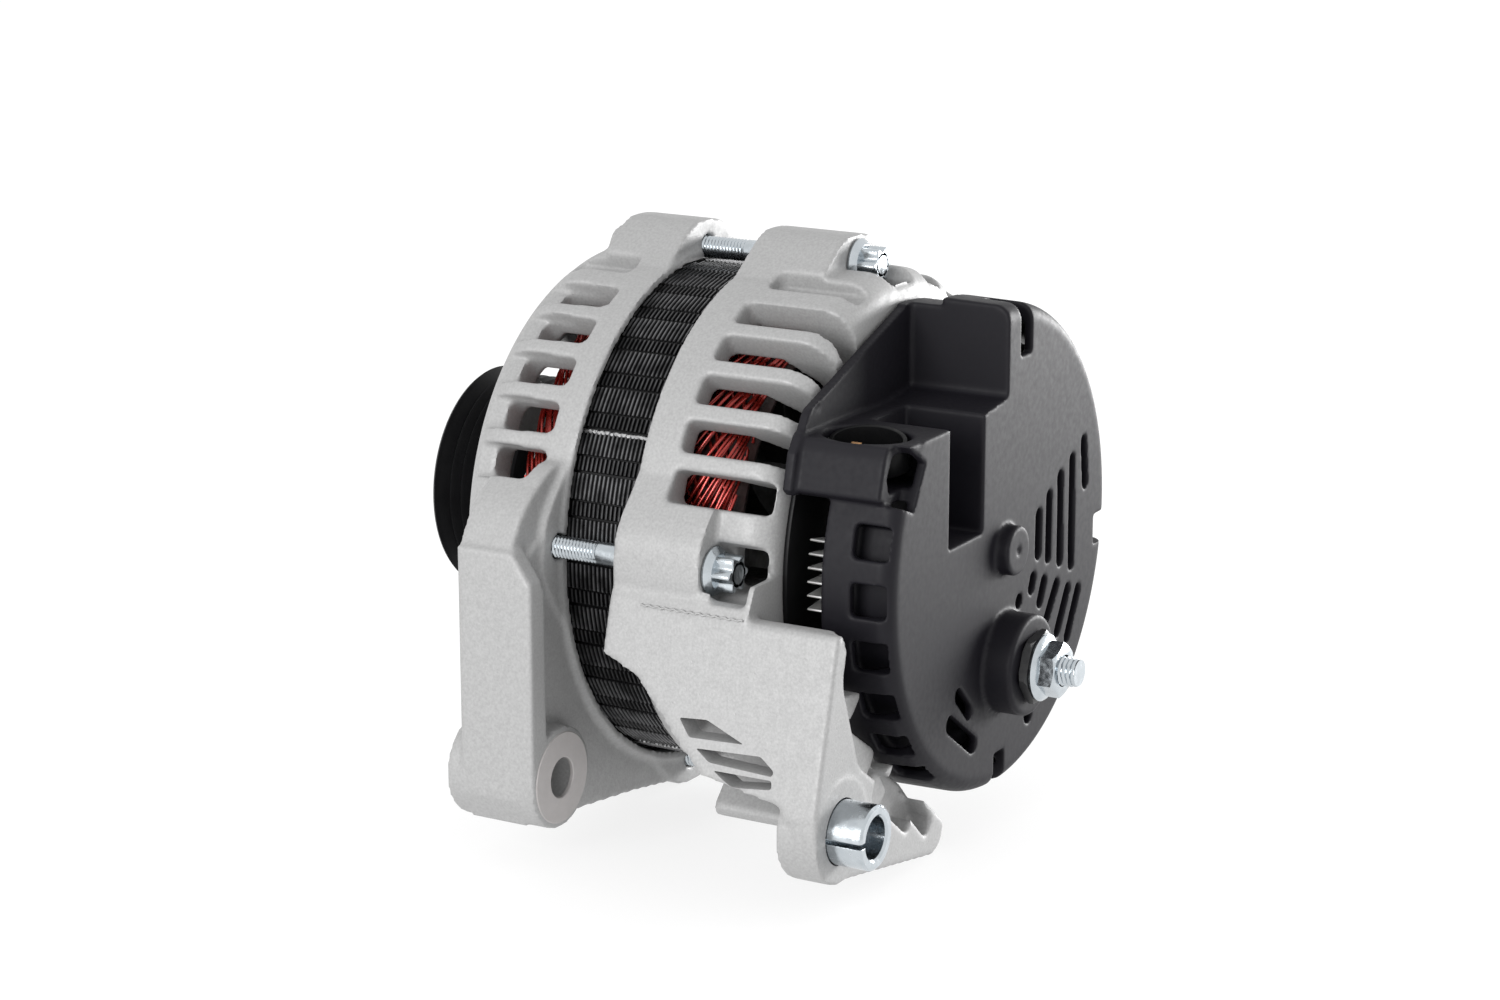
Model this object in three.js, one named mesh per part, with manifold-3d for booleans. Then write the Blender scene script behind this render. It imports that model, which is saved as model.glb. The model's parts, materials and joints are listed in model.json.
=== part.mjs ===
// Car alternator with a clip-on rear cover, built from separate pieces. Millimetres, +Z up.
// The rotor turns about Y. Stations along Y are measured forwards from the rear cover's flat
// face, and the finished group is shifted so that its origin is the centre of the shaft's
// front end. Radii are taken from the rotor axis, and polar angles run from +X towards +Z.
import * as THREE from "three";
import { mergeVertices } from "three/addons/utils/BufferGeometryUtils.js";
import Module from "manifold-3d";

const wasm = await Module();
wasm.setup();

// ---- driving dimensions -------------------------------------------------------------------
const GAP = 0.3; // clearance kept between pieces that touch
const ROUND = 30; // facets round the large shells
const SHAFT_FRONT = 158; // station of the shaft's front end face

const STATOR = { rear: 66, front: 98, outer: 67.4, bore: 49.2, slots: 36 };
const WINDING = { rear: 46, front: 112.5, inner: 51, outer: 60 };

const SHELL = { outer: 70.5, pilot: STATOR.outer + 0.8, inner: 62.6 };
const FRONT = { rim: 92, face: 128, corner: 15, wall: 122, hubEnd: 131, hubStart: 111.5, bore: 16 };
const REAR = { rim: 72, face: 32, corner: 8, wall: 38, hubEnd: 25.5, hubStart: 40, bore: 12 };

const BOLT = {
  circle: 71,
  angles: [86, 176, 266, 356],
  r: 3,
  hole: 3.4,
  seat: 47,
  tip: 112,
  headRoom: 7.4,
  headRoomRear: 34,
};
const LUG = { frontRear: 92.6, frontEnd: 117, rearEnd: 47, rearFront: 72, top: 78.4 };

const WINDOW = { first: 116.8, pitch: 10.8, count: 5, half: 3.5, blind: 104, blindHalf: 3 };
const FRONT_WINDOW = { start: 100, end: 117.5, inner: 50, trough: 66.6, troughEnd: 124.5 };
const FACE_VENT = { count: 10, first: 14, half: 9, inner: 35, outer: 52 };
const REAR_WINDOW = { end: 61.5, inner: 37, shortRear: 33.8, shortInner: 50 };

const FOOT = { x: -78.5, z: -54.4, boss: 13.5 };
const FRONT_FOOT = {
  rear: 88,
  front: 114.5,
  bore: 5.9,
  wallRear: 94.5,
  wallFront: 110,
  webRear: 93.4,
};
const REAR_FOOT = { rear: 4, front: 17, bore: 8.6, panelRear: 6, webFront: 12 };
const BUSHING = { outer: 8.3, bore: 5.45, rear: -4, front: 18.5, slit: 1.3 };

const ROTOR = { claw: 48.6, poles: 6, rear: 63, front: 101, middle: 82, coil: 38, core: 19.6 };
const SHAFT = { front: 8.5, core: 10.5, slip: 5, rear: 3.2, thread: 7 };
const SLIP = { sleeve: 6.3, ring: 8.2, rears: [6, 15], width: 6 };
const BRUSH = { width: 5.6, depth: 4.4, bottom: 8.4, top: 22.4, springTop: 32.4 };
const FRONT_BEARING = {
  rear: 111.8,
  front: 125.8,
  bore: 8.5,
  outer: 23.5,
  pitch: 15.9,
  ball: 3.2,
  balls: 8,
};
const REAR_BEARING = {
  rear: 27.3,
  front: 37.3,
  bore: 8.5,
  outer: 17.5,
  pitch: 13,
  ball: 2.2,
  balls: 9,
};

const PULLEY = {
  back: 134.5,
  front: 160,
  seat: 151,
  tip: 29.6,
  root: 26.4,
  rim: 31,
  grooves: 6,
  pitch: 3.56,
};
const RETAINER_ANGLES = [45, 135, 225, 315];
const RETAINER_CIRCLE = 26.6;

const COVER = { outer: 64.6, wall: 2.5, skirt: 19.6, edge: 4.5, front: 31.2, slotFront: 24.6 };
const TERMINAL = { x: 0, z: -30.5, boss: 13.5, bossEnd: -8.5, stud: 4 };

const CAST = { color: 0xb4b4b2, roughness: 0.62, metalness: 0.55 };

// ---- solids -------------------------------------------------------------------------------
const RAD = Math.PI / 180;

// A closed geometry as a solid: vertices merged, flat triangles dropped, faces turned outwards.
function solid(geometry) {
  const bare = geometry.index ? geometry.toNonIndexed() : geometry;
  const points = new THREE.BufferGeometry();
  points.setAttribute("position", bare.getAttribute("position"));
  const merged = mergeVertices(points, 1e-4);
  const index = merged.index.array;
  const kept = [];
  for (let i = 0; i < index.length; i += 3) {
    const [a, b, c] = [index[i], index[i + 1], index[i + 2]];
    if (a !== b && b !== c && a !== c) kept.push(a, b, c);
  }
  const build = (tris) =>
    new wasm.Manifold(
      new wasm.Mesh({
        numProp: 3,
        vertProperties: merged.attributes.position.array,
        triVerts: new Uint32Array(tris),
      }),
    );
  const made = build(kept);
  return made.volume() < 0 ? build(kept.reverse()) : made;
}

function join(...parts) {
  return parts.reduce((sum, next) => sum.add(next));
}

function cut(body, ...tools) {
  return tools.reduce((rest, tool) => rest.subtract(tool), body);
}

// A solid of revolution about Y. The profile is a closed loop of [radius, station] pairs.
function lathe(profile, segments = ROUND) {
  const points = profile.map(([r, s]) => new THREE.Vector2(r, s));
  points.push(points[0].clone());
  return solid(new THREE.LatheGeometry(points, segments));
}

function ring(inner, outer, rear, front, segments = 20) {
  return lathe([[inner, rear], [outer, rear], [outer, front], [inner, front]], segments);
}

function rod(r, rear, front, x = 0, z = 0, segments = 16) {
  const cylinder = new THREE.CylinderGeometry(r, r, front - rear, segments);
  return solid(cylinder.translate(x, (rear + front) / 2, z));
}

function box(x0, x1, rear, front, z0, z1) {
  const block = new THREE.BoxGeometry(x1 - x0, front - rear, z1 - z0);
  return solid(block.translate((x0 + x1) / 2, (rear + front) / 2, (z0 + z1) / 2));
}

// An outline through the given corners, with each corner rounded off by the given radius.
function outline(corners, radius = 0, steps = 3) {
  const points = corners.map(([x, y]) => new THREE.Vector2(x, y));
  if (!radius) return new THREE.Shape(points);
  const rounded = [];
  points.forEach((corner, i) => {
    const before = points[(i + points.length - 1) % points.length];
    const after = points[(i + 1) % points.length];
    const start = corner.clone().add(before.clone().sub(corner).setLength(radius));
    const end = corner.clone().add(after.clone().sub(corner).setLength(radius));
    rounded.push(...new THREE.QuadraticBezierCurve(start, corner, end).getPoints(steps));
  });
  return new THREE.Shape(rounded);
}

// A prism along Y, from an outline in the XZ plane.
function prismGeometry(shape, rear, front, curveSegments = 12) {
  const options = { depth: front - rear, bevelEnabled: false, curveSegments };
  return new THREE.ExtrudeGeometry(shape, options).rotateX(Math.PI / 2).translate(0, front, 0);
}

function prism(shape, rear, front, curveSegments = 12) {
  return solid(prismGeometry(shape, rear, front, curveSegments));
}

// A prism that is drawn with its outline's first axis pointing out along the given angle.
function radialPrism(shape, rear, front, angle) {
  return solid(prismGeometry(shape, rear, front).rotateY(-angle * RAD));
}

// A prism along X, from an outline in the plane of stations and heights.
function sidePrism(shape, x0, x1) {
  const options = { depth: x1 - x0, bevelEnabled: false };
  const geometry = new THREE.ExtrudeGeometry(shape, options);
  return solid(geometry.rotateX(Math.PI / 2).rotateZ(Math.PI / 2).translate(x0, 0, 0));
}

// A wedge that widens outwards, from radius r0 to r1, half degrees to each side of an angle.
function wedge(r0, r1, half, rear, front, angle) {
  const corners = [];
  for (const side of [-1, 1]) {
    const near = side < 0 ? r0 : r1;
    const far = side < 0 ? r1 : r0;
    corners.push([near * Math.cos(half * RAD), side * near * Math.sin(half * RAD)]);
    corners.push([far * Math.cos(half * RAD), side * far * Math.sin(half * RAD)]);
  }
  return radialPrism(outline(corners), rear, front, angle);
}

const group = new THREE.Group();
const assembly = new THREE.Group();
assembly.position.y = -SHAFT_FRONT;
group.add(assembly);

// Adds a solid to the assembly as a named mesh with its own material.
function piece(name, body, look) {
  const { vertProperties, triVerts, numProp } = body.getMesh();
  const points = [];
  for (let i = 0; i < vertProperties.length; i += numProp) {
    points.push(...vertProperties.subarray(i, i + 3));
  }
  const geometry = new THREE.BufferGeometry();
  geometry.setAttribute("position", new THREE.Float32BufferAttribute(points, 3));
  geometry.setIndex([...triVerts]);
  geometry.computeVertexNormals();
  const mesh = new THREE.Mesh(geometry, new THREE.MeshStandardMaterial(look));
  mesh.name = name;
  assembly.add(mesh);
}

function polar(r, angle) {
  return [r * Math.cos(angle * RAD), r * Math.sin(angle * RAD)];
}

function arc(cx, cy, r, from, to, steps) {
  const points = [];
  for (let i = 0; i <= steps; i++) {
    const [x, y] = polar(r, from + ((to - from) * i) / steps);
    points.push([cx + x, cy + y]);
  }
  return points;
}

// ---- brackets -----------------------------------------------------------------------------
// One through-bolt lug: a hump that ramps down to the shell on both sides of the bolt.
function lug(angle, rear, front) {
  const half = 8;
  const foot = 23;
  const corners = [
    [64, -foot],
    [66.5, -foot],
    [LUG.top - 1.5, -half - 2],
    [LUG.top, -half + 2],
    [LUG.top, half - 2],
    [LUG.top - 1.5, half + 2],
    [66.5, foot],
    [64, foot],
  ];
  return radialPrism(outline(corners), rear, front, angle);
}

function boltHole(angle, rear, front) {
  const [x, z] = polar(BOLT.circle, angle);
  return rod(BOLT.hole, rear, front, x, z, 10);
}

// The room cut round a bolt's head.
function headRoom(angle) {
  const [x, z] = polar(BOLT.circle, angle);
  return rod(BOLT.headRoom, BOLT.headRoomRear, BOLT.seat, x, z);
}

function windowAngles(quadrant) {
  const first = WINDOW.first + quadrant * 90;
  return Array.from({ length: WINDOW.count }, (_, i) => first + i * WINDOW.pitch);
}

function frontBracket() {
  const shell = lathe([
    [SHELL.inner, FRONT.rim],
    [SHELL.outer, FRONT.rim],
    ...arc(SHELL.outer - FRONT.corner, FRONT.face - FRONT.corner, FRONT.corner, 0, 90, 3),
    [30, FRONT.face],
    [29, FRONT.hubEnd],
    [FRONT.bore, FRONT.hubEnd],
    [FRONT.bore, FRONT.hubStart],
    [29.5, FRONT.hubStart],
    [29.5, FRONT.wall],
    [54, FRONT.wall],
    [SHELL.inner, FRONT.wall - 9],
  ]);
  const lugs = BOLT.angles.map((angle) => lug(angle, LUG.frontRear, LUG.frontEnd));
  const leftWall = outline([
    [-90.5, -60],
    [-92, -57.5],
    [-92, 6],
    [-84, 18],
    [-71, 26],
    [-60, 26],
    [-60, -60],
  ]);
  const rearWall = box(-92, -86, FRONT_FOOT.rear, FRONT_FOOT.wallFront, FOOT.z, 2);
  const bottom = [[-92, -58], [-87, -66], [-54, -70], [-34, -72.5], [-13, -76]];
  const web = [...bottom, [-8, -60], [-40, -40], [-60, 20], [-92, 0]];
  const body = join(
    shell,
    ...lugs,
    prism(leftWall, FRONT_FOOT.wallRear, FRONT_FOOT.wallFront),
    rearWall,
    prism(outline(web), FRONT_FOOT.webRear, FRONT_FOOT.wallFront),
    rod(FOOT.boss, FRONT_FOOT.rear, FRONT_FOOT.front, FOOT.x, FOOT.z, 24),
  );
  const windows = [0, 1, 2, 3].flatMap((quadrant) =>
    windowAngles(quadrant - 1).map((angle) =>
      wedge(FRONT_WINDOW.inner, 79, WINDOW.half, FRONT_WINDOW.start, FRONT_WINDOW.end, angle),
    ),
  );
  const shown = windows.filter((_, i) => i < 12 || i > 14);
  const troughs = [0, 1, 2, 3].flatMap((quadrant) =>
    windowAngles(quadrant - 1).map((angle) =>
      wedge(FRONT_WINDOW.trough, 79, WINDOW.half, FRONT_WINDOW.end - 1, FRONT_WINDOW.troughEnd, angle),
    ),
  );
  const shownTroughs = troughs.filter((_, i) => i < 12 || i > 14);
  const faceVents = Array.from({ length: FACE_VENT.count }, (_, i) => {
    const angle = FACE_VENT.first + (i * 360) / FACE_VENT.count;
    return wedge(FACE_VENT.inner, FACE_VENT.outer, FACE_VENT.half, FRONT.wall - 4, 134, angle);
  });
  const blinds = [0, 1, 3].map((quadrant) =>
    wedge(66, 79, WINDOW.blindHalf, 102, 130, WINDOW.blind - 90 + quadrant * 90),
  );
  const insides = join(
    rod(SHELL.pilot, 80, STATOR.front + GAP, 0, 0, ROUND),
    rod(SHELL.inner, 80, FRONT.hubStart, 0, 0, ROUND),
  );
  const seat = rod(FRONT_BEARING.outer + GAP, 100, FRONT_BEARING.front + GAP, 0, 0, 28);
  return cut(
    body,
    insides,
    seat,
    rod(15, 100, 140, 0, 0, 24),
    rod(FRONT_FOOT.bore, 80, 120, FOOT.x, FOOT.z, 20),
    ...shown,
    ...shownTroughs,
    ...faceVents,
    ...blinds,
    ...screwHoles(RETAINER_ANGLES, RETAINER_CIRCLE, 2, 105, 118.5),
    ...BOLT.angles.map((angle) => boltHole(angle, 90, BOLT.tip + GAP)),
  );
}

function rearBracket() {
  const shell = lathe([
    [REAR.bore, REAR.hubEnd],
    [23, REAR.hubEnd],
    [25, REAR.face],
    ...arc(SHELL.outer - REAR.corner, REAR.face + REAR.corner, REAR.corner, -90, 0, 3),
    [SHELL.outer, REAR.rim],
    [SHELL.inner - 1, REAR.rim],
    [SHELL.inner - 1, REAR.wall + 8],
    [55, REAR.wall],
    [22, REAR.wall],
    [22, REAR.hubStart],
    [REAR.bore, REAR.hubStart],
  ]);
  const lugs = BOLT.angles.map((angle) => lug(angle, LUG.rearEnd, LUG.rearFront));
  const panelSection = [[-80, -4], [-92.3, -50], [-86.5, -50], [-74, -4]];
  const panelSide = outline([
    [REAR_FOOT.panelRear, 0],
    [LUG.rearFront, 0],
    [LUG.rearFront, -17],
    [62, -21],
    [40, -42],
    [REAR_FOOT.front, -46],
    [REAR_FOOT.panelRear, -60],
  ]);
  const panelSlots = [
    [[47.5, -29.2], [39.6, -28.6], [28.4, -32.9], [44, -33.5]],
    [[41.7, -35.8], [23.3, -35], [19.1, -38], [19.5, -39.3], [37.5, -38.6]],
    [[35, -40.2], [19.4, -40], [19.2, -41.4], [31.9, -42.3]],
  ];
  const panel = cut(
    prism(outline(panelSection), REAR_FOOT.panelRear, LUG.rearFront).intersect(
      sidePrism(panelSide, -95, -70),
    ),
    ...panelSlots.map((slot) => sidePrism(outline(slot), -100, -76)),
  );
  const ledge = prism(
    outline([[-80, -4], [-76, 4], [-60, 4], [-60, -10], [-78.5, -10]]),
    REAR.face,
    LUG.rearFront,
  );
  const web = outline([
    [-80, -4],
    [-92.4, -52],
    [-90, -62],
    [-76, -68],
    [-27, -77],
    [-22.7, -74.7],
    [-21.1, -69.7],
    [-40.3, -54.2],
    [-49, -45],
    [-59.5, -47],
    [-68.7, -40.3],
    [-77, -18],
    [-77, -4],
  ]);
  const slots = [
    outline([[-62, -51.5], [-57.5, -43], [-39, -62.3], [-42.6, -66.4]], 1),
    outline([[-54, -50.8], [-47, -42], [-28.4, -66.8], [-31.8, -70.8]], 1),
  ];
  const webs = cut(
    prism(web, REAR_FOOT.panelRear, REAR_FOOT.webFront),
    rod(COVER.outer + 1.2, 0, COVER.skirt, 0, 0, ROUND),
    ...slots.map((slot) => prism(slot, 0, 20)),
  );
  const backPlate = outline([
    [-84, -60],
    [-76, -68],
    [-27, -77],
    [-22.7, -74.7],
    [-21.1, -69.7],
    [-36, -54],
    [-52, -40],
    [-70, -40],
  ]);
  const strut = join(
    prism(backPlate, 13, 16),
    prism(outline([[-90, -50], [-84, -66], [-60, -50], [-52, -42], [-70, -30]]), 10, 17),
    prism(outline([[-66, -60], [-60, -66], [-46, -54], [-52, -46]]), 10, 50),
    prism(outline([[-74, -22], [-82.5, -27], [-66, -30], [-60, -24]]), 10, 60),
  );
  const body = join(
    shell,
    ...lugs,
    panel,
    ledge,
    webs,
    cut(strut, rod(COVER.outer + 1.2, 0, COVER.skirt + 1, 0, 0, ROUND)),
    rod(FOOT.boss, REAR_FOOT.rear, REAR_FOOT.front, FOOT.x, FOOT.z, 24),
  );
  const windows = [0, 1, 2, 3].flatMap((quadrant) =>
    windowAngles(quadrant).map((angle, i) => {
      const start = i === WINDOW.count - 1 ? REAR_WINDOW.shortRear : 20;
      const inner = i === WINDOW.count - 1 ? REAR_WINDOW.shortInner : REAR_WINDOW.inner;
      return wedge(inner, 90, WINDOW.half, start, REAR_WINDOW.end, angle);
    }),
  );
  const shown = windows.filter((_, i) => ![5, 9].includes(i));
  const blinds = [0, 2, 3].map((quadrant) =>
    wedge(66, 79, WINDOW.blindHalf, 34, 60, WINDOW.blind + quadrant * 90),
  );
  const behindBolts = [86, 176, 356].map((angle) => wedge(56, 82, 5, BOLT.headRoomRear, 44, angle));
  const insides = join(
    rod(SHELL.pilot, STATOR.rear - GAP, 80, 0, 0, ROUND),
    rod(SHELL.inner, REAR.wall + 8, 80, 0, 0, ROUND),
  );
  return cut(
    body,
    insides,
    rod(REAR_BEARING.outer + GAP, REAR_BEARING.rear - GAP, 60, 0, 0, 24),
    rod(11, 20, 60),
    rod(REAR_FOOT.bore, 0, 20, FOOT.x, FOOT.z, 20),
    ...shown,
    ...blinds,
    ...behindBolts,
    ...BOLT.angles.map(headRoom),
    ...BOLT.angles.map((angle) => boltHole(angle, 40, 75)),
  );
}

function bushing() {
  const tube = cut(
    rod(BUSHING.outer, BUSHING.rear, BUSHING.front, FOOT.x, FOOT.z, 20),
    rod(BUSHING.bore, BUSHING.rear - 1, BUSHING.front + 1, FOOT.x, FOOT.z, 20),
  );
  const [low, high] = [FOOT.z - BUSHING.slit / 2, FOOT.z + BUSHING.slit / 2];
  return cut(tube, box(FOOT.x - 10, FOOT.x, BUSHING.rear - 1, BUSHING.front + 1, low, high));
}

// A through bolt with a round flange and a six-lobed head.
function throughBolt(angle) {
  const [x, z] = polar(BOLT.circle, angle);
  const lobes = [];
  for (let i = 0; i < 18; i++) {
    const [dx, dz] = polar(4.4 + 0.55 * Math.cos(i * 120 * RAD), i * 20);
    lobes.push([x + dx, z + dz]);
  }
  return join(
    prism(outline(lobes), BOLT.seat - 7.5, BOLT.seat - 1),
    rod(6.4, BOLT.seat - 1.8, BOLT.seat - GAP, x, z, 16),
    rod(BOLT.r, BOLT.seat - 1, BOLT.tip, x, z, 10),
  );
}

// ---- stator -------------------------------------------------------------------------------
function statorCore() {
  const step = 360 / STATOR.slots;
  const outer = [];
  const inner = [];
  for (let i = 0; i < STATOR.slots; i++) {
    const a = i * step;
    outer.push(polar(STATOR.outer, a));
    inner.push(polar(STATOR.bore, a), polar(STATOR.bore, a + 6.2));
    inner.push(polar(61, a + 6.6), polar(61, a + 9.6));
  }
  const shape = outline(outer);
  shape.holes.push(outline(inner.reverse()));
  return prism(shape, STATOR.rear, STATOR.front);
}

function statorWinding() {
  const step = 360 / STATOR.slots;
  const section = (start, end) => [
    [WINDING.inner, start],
    [WINDING.outer - 1, start],
    [WINDING.outer, end],
    [WINDING.inner, end],
  ];
  const bars = Array.from({ length: STATOR.slots / 3 }, (_, i) => {
    const { inner, outer } = WINDING;
    const shape = outline([[inner, -1], [outer, -1], [outer, 1], [inner, 1]]);
    return radialPrism(shape, STATOR.rear - 1, STATOR.front + 1, (3 * i + 2) * step - 1.9);
  });
  return join(
    lathe(section(WINDING.rear, STATOR.rear - GAP)),
    lathe(section(WINDING.front, STATOR.front + GAP).reverse()),
    ...bars,
  );
}

// ---- rotor --------------------------------------------------------------------------------
function shaft() {
  const { front, core, slip, rear, thread } = SHAFT;
  return lathe(
    [
      [0, rear],
      [slip - 1, rear],
      [slip, rear + 1],
      [slip, REAR_BEARING.rear - 3],
      [front - GAP, REAR_BEARING.rear - 2],
      [front - GAP, REAR_BEARING.front + 1],
      [core, REAR_BEARING.front + 1],
      [core, FRONT_BEARING.rear - 1],
      [front - GAP, FRONT_BEARING.rear - 1],
      [front - GAP, PULLEY.seat],
      [thread, PULLEY.seat],
      [thread, SHAFT_FRONT - 1],
      [thread - 1, SHAFT_FRONT],
      [0, SHAFT_FRONT],
    ],
    16,
  );
}

// A claw pole: a disc and a half core, with fingers that taper towards the other pole.
function clawPole(base, inward, turn) {
  const tip = base + inward * 36;
  const root = base + inward * 12;
  const half = ROTOR.middle - (inward * GAP) / 2;
  const disc = ring(SHAFT.core + GAP, 35, Math.min(base, root), Math.max(base, root), 24);
  const core = ring(SHAFT.core + GAP, ROTOR.core, Math.min(base, half), Math.max(base, half), 24);
  const round = rod(ROTOR.claw, Math.min(base, tip), Math.max(base, tip), 0, 0, ROUND);
  const end = tip + inward;
  const hollow = rod(ROTOR.coil + 2.5, Math.min(root, end), Math.max(root, end), 0, 0, 24);
  const fingers = Array.from({ length: ROTOR.poles }, (_, i) => {
    const angle = turn + (i * 360) / ROTOR.poles;
    return clawFinger(base, tip, angle).intersect(round).subtract(hollow);
  });
  return join(disc, core, ...fingers);
}

// A claw finger: a trapezium seen from outside, drawn straight through to the disc.
function clawFinger(base, tip, angle) {
  const wide = 12.2;
  const narrow = 5.4;
  const shape = outline([[base, -wide], [base, wide], [tip, narrow], [tip, -narrow]]);
  const geometry = new THREE.ExtrudeGeometry(shape, { depth: 32, bevelEnabled: false });
  const turned = geometry.rotateX(Math.PI / 2).rotateZ(Math.PI / 2).translate(22, 0, 0);
  return solid(turned.rotateY(-angle * RAD));
}

// A cooling fan: a pressed plate with upright vanes that lean back from the rotation.
function fan(plateRear, vaneRear, vaneFront, blades, lean) {
  const plate = ring(SHAFT.core + GAP, 45, plateRear, plateRear + 1.4, 24);
  const vanes = Array.from({ length: blades }, (_, i) => {
    const vane = outline([[27, -0.8], [44, lean - 0.8], [44, lean + 0.8], [27, 0.8]]);
    return radialPrism(vane, vaneRear, vaneFront, (i * 360) / blades);
  });
  return join(plate, ...vanes);
}

function coilBobbin() {
  const { core, coil } = ROTOR;
  return lathe(
    [
      [core + GAP, ROTOR.rear + 12.3],
      [coil, ROTOR.rear + 12.3],
      [coil, ROTOR.rear + 13.3],
      [core + 1.3, ROTOR.rear + 13.3],
      [core + 1.3, ROTOR.front - 13.3],
      [coil, ROTOR.front - 13.3],
      [coil, ROTOR.front - 12.3],
      [core + GAP, ROTOR.front - 12.3],
    ],
    20,
  );
}

function fieldCoil() {
  const { core, coil, rear, front } = ROTOR;
  return ring(core + 1.6, coil - 0.5, rear + 13.6, front - 13.6);
}

function retainerScrew(angle) {
  const [x, z] = polar(RETAINER_CIRCLE, angle);
  return join(rod(1.7, 107.8, 118, x, z, 8), rod(3.2, 107.6, 109.6, x, z, 12));
}

function screwHoles(angles, r, radius, rear, front) {
  return angles.map((angle) => {
    const [x, z] = polar(r, angle);
    return rod(radius, rear, front, x, z, 8);
  });
}

function bearingRetainer() {
  const holes = screwHoles(RETAINER_ANGLES, RETAINER_CIRCLE, 2, 109, 112);
  return cut(ring(15, 29.4, 109.9, 111.2), ...holes);
}

function pulley() {
  const { back, front, seat, tip, root, rim, grooves, pitch } = PULLEY;
  const first = back + 2.6;
  const profile = [[SHAFT.front, back], [rim, back], [rim, first - 0.8]];
  for (let i = 0; i < grooves; i++) {
    profile.push([tip, first + i * pitch], [root, first + (i + 0.5) * pitch]);
  }
  const end = first + grooves * pitch;
  profile.push([tip, end], [rim, end + 0.8], [rim, front], [rim - 3, front], [20, front - 2]);
  profile.push([17, seat], [SHAFT.front, seat]);
  return lathe(profile, 26);
}

function pulleyNut() {
  const corners = Array.from({ length: 6 }, (_, i) => polar(13.9, i * 60 + 10));
  const hex = prism(outline(corners), 151.3, 157);
  const bore = rod(SHAFT.thread + GAP, 150, 160, 0, 0, 20);
  return cut(join(hex, rod(14.6, 151.3, 152.6, 0, 0, 24)), bore);
}

// Balls joined by their ribbon cage, as one ring between the races.
function ballCage({ rear, front, pitch, ball, balls }) {
  const middle = (rear + front) / 2;
  const ribbon = ring(pitch - 0.7, pitch + 0.7, middle - 1.4, middle + 1.4, 16);
  const spheres = Array.from({ length: balls }, (_, i) => {
    const [x, z] = polar(pitch, (i * 360) / balls);
    return solid(new THREE.IcosahedronGeometry(ball, 0).translate(x, middle, z));
  });
  return join(ribbon, ...spheres);
}

// The inner race, grooved on its outside.
function innerRace({ rear, front, bore, pitch, ball }) {
  const middle = (rear + front) / 2;
  const half = ball + 0.5;
  const groove = pitch - ball - 0.5;
  const land = groove + 1;
  return lathe(
    [
      [bore, rear],
      [land, rear],
      [land, middle - half],
      [groove, middle - half * 0.6],
      [groove, middle + half * 0.6],
      [land, middle + half],
      [land, front],
      [bore, front],
    ],
    16,
  );
}

// The outer race, grooved on its inside.
function outerRace({ rear, front, outer, pitch, ball }) {
  const middle = (rear + front) / 2;
  const half = ball + 0.5;
  const groove = pitch + ball + 0.5;
  const land = groove - 1;
  return lathe(
    [
      [outer, rear],
      [outer, front],
      [land, front],
      [land, middle + half],
      [groove, middle + half * 0.6],
      [groove, middle - half * 0.6],
      [land, middle - half],
      [land, rear],
    ],
    20,
  );
}

// ---- rear electrics -----------------------------------------------------------------------
const POSITIVE = { rear: 20.5, front: 23, diodes: [212, 240, 328] };
const NEGATIVE = { rear: 28.6, front: 31, diodes: [226, 300, 345] };
const DIODE_CIRCLE = 40;
const REGULATOR_SCREWS = [[37.2, 13], [37.2, 30]];

function plateHoles(angles, radius, rear, front) {
  return screwHoles(angles, DIODE_CIRCLE, radius, rear - 1, front + 1);
}

// The positive plate of the rectifier, with a comb of cooling fins along its left edge.
function positiveHeatSink() {
  const { rear, front, diodes } = POSITIVE;
  const edge = [
    ...arc(0, 0, 53, 163, 345, 18),
    ...arc(0, 0, 27, 345, 190, 12),
    [-38, 3],
    [-39, 14],
  ];
  const fins = Array.from({ length: 6 }, (_, i) => {
    const fin = outline([[50, -0.55], [60.6, -0.55], [60.6, 0.55], [50, 0.55]]);
    return radialPrism(fin, 17.6, 25.8, 167.5 + i * 3.4);
  });
  const plate = prism(outline(edge), rear, front);
  return cut(join(plate, ...fins), ...plateHoles(diodes, 5.3, rear, front));
}

function negativeHeatSink() {
  const { rear, front, diodes } = NEGATIVE;
  const edge = [...arc(0, 0, 52, 205, 352, 14), ...arc(0, 0, 27, 352, 205, 12)];
  return cut(prism(outline(edge), rear, front), ...plateHoles(diodes, 5.3, rear, front));
}

// A press-fit diode: a round body, with its lead towards the rear.
function diode(angle, rear, front, leadRear) {
  const [x, z] = polar(DIODE_CIRCLE, angle);
  return join(rod(4.6, rear, front, x, z, 12), rod(0.8, leadRear, rear + 1, x, z, 6));
}

function terminalBoard() {
  const edge = [...arc(0, 0, 50, 200, 350, 14), ...arc(0, 0, 31, 350, 200, 12)];
  return cut(prism(outline(edge), 9, 11.5), rod(TERMINAL.stud + 1, 8, 13, 0, TERMINAL.z, 16));
}

function brushHolder() {
  const body = box(-6, 5.7, 4.2, 22.8, 9.6, 35);
  const channels = SLIP.rears.map((rear) => {
    const middle = rear + SLIP.width / 2;
    const half = BRUSH.depth / 2 + GAP;
    const side = BRUSH.width / 2 + GAP;
    return box(-side, side, middle - half, middle + half, 8, BRUSH.springTop + GAP);
  });
  return cut(body, ...channels);
}

function brush(rear) {
  const middle = rear + SLIP.width / 2;
  const { width, depth, bottom, top } = BRUSH;
  return box(-width / 2, width / 2, middle - depth / 2, middle + depth / 2, bottom, top);
}

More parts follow.
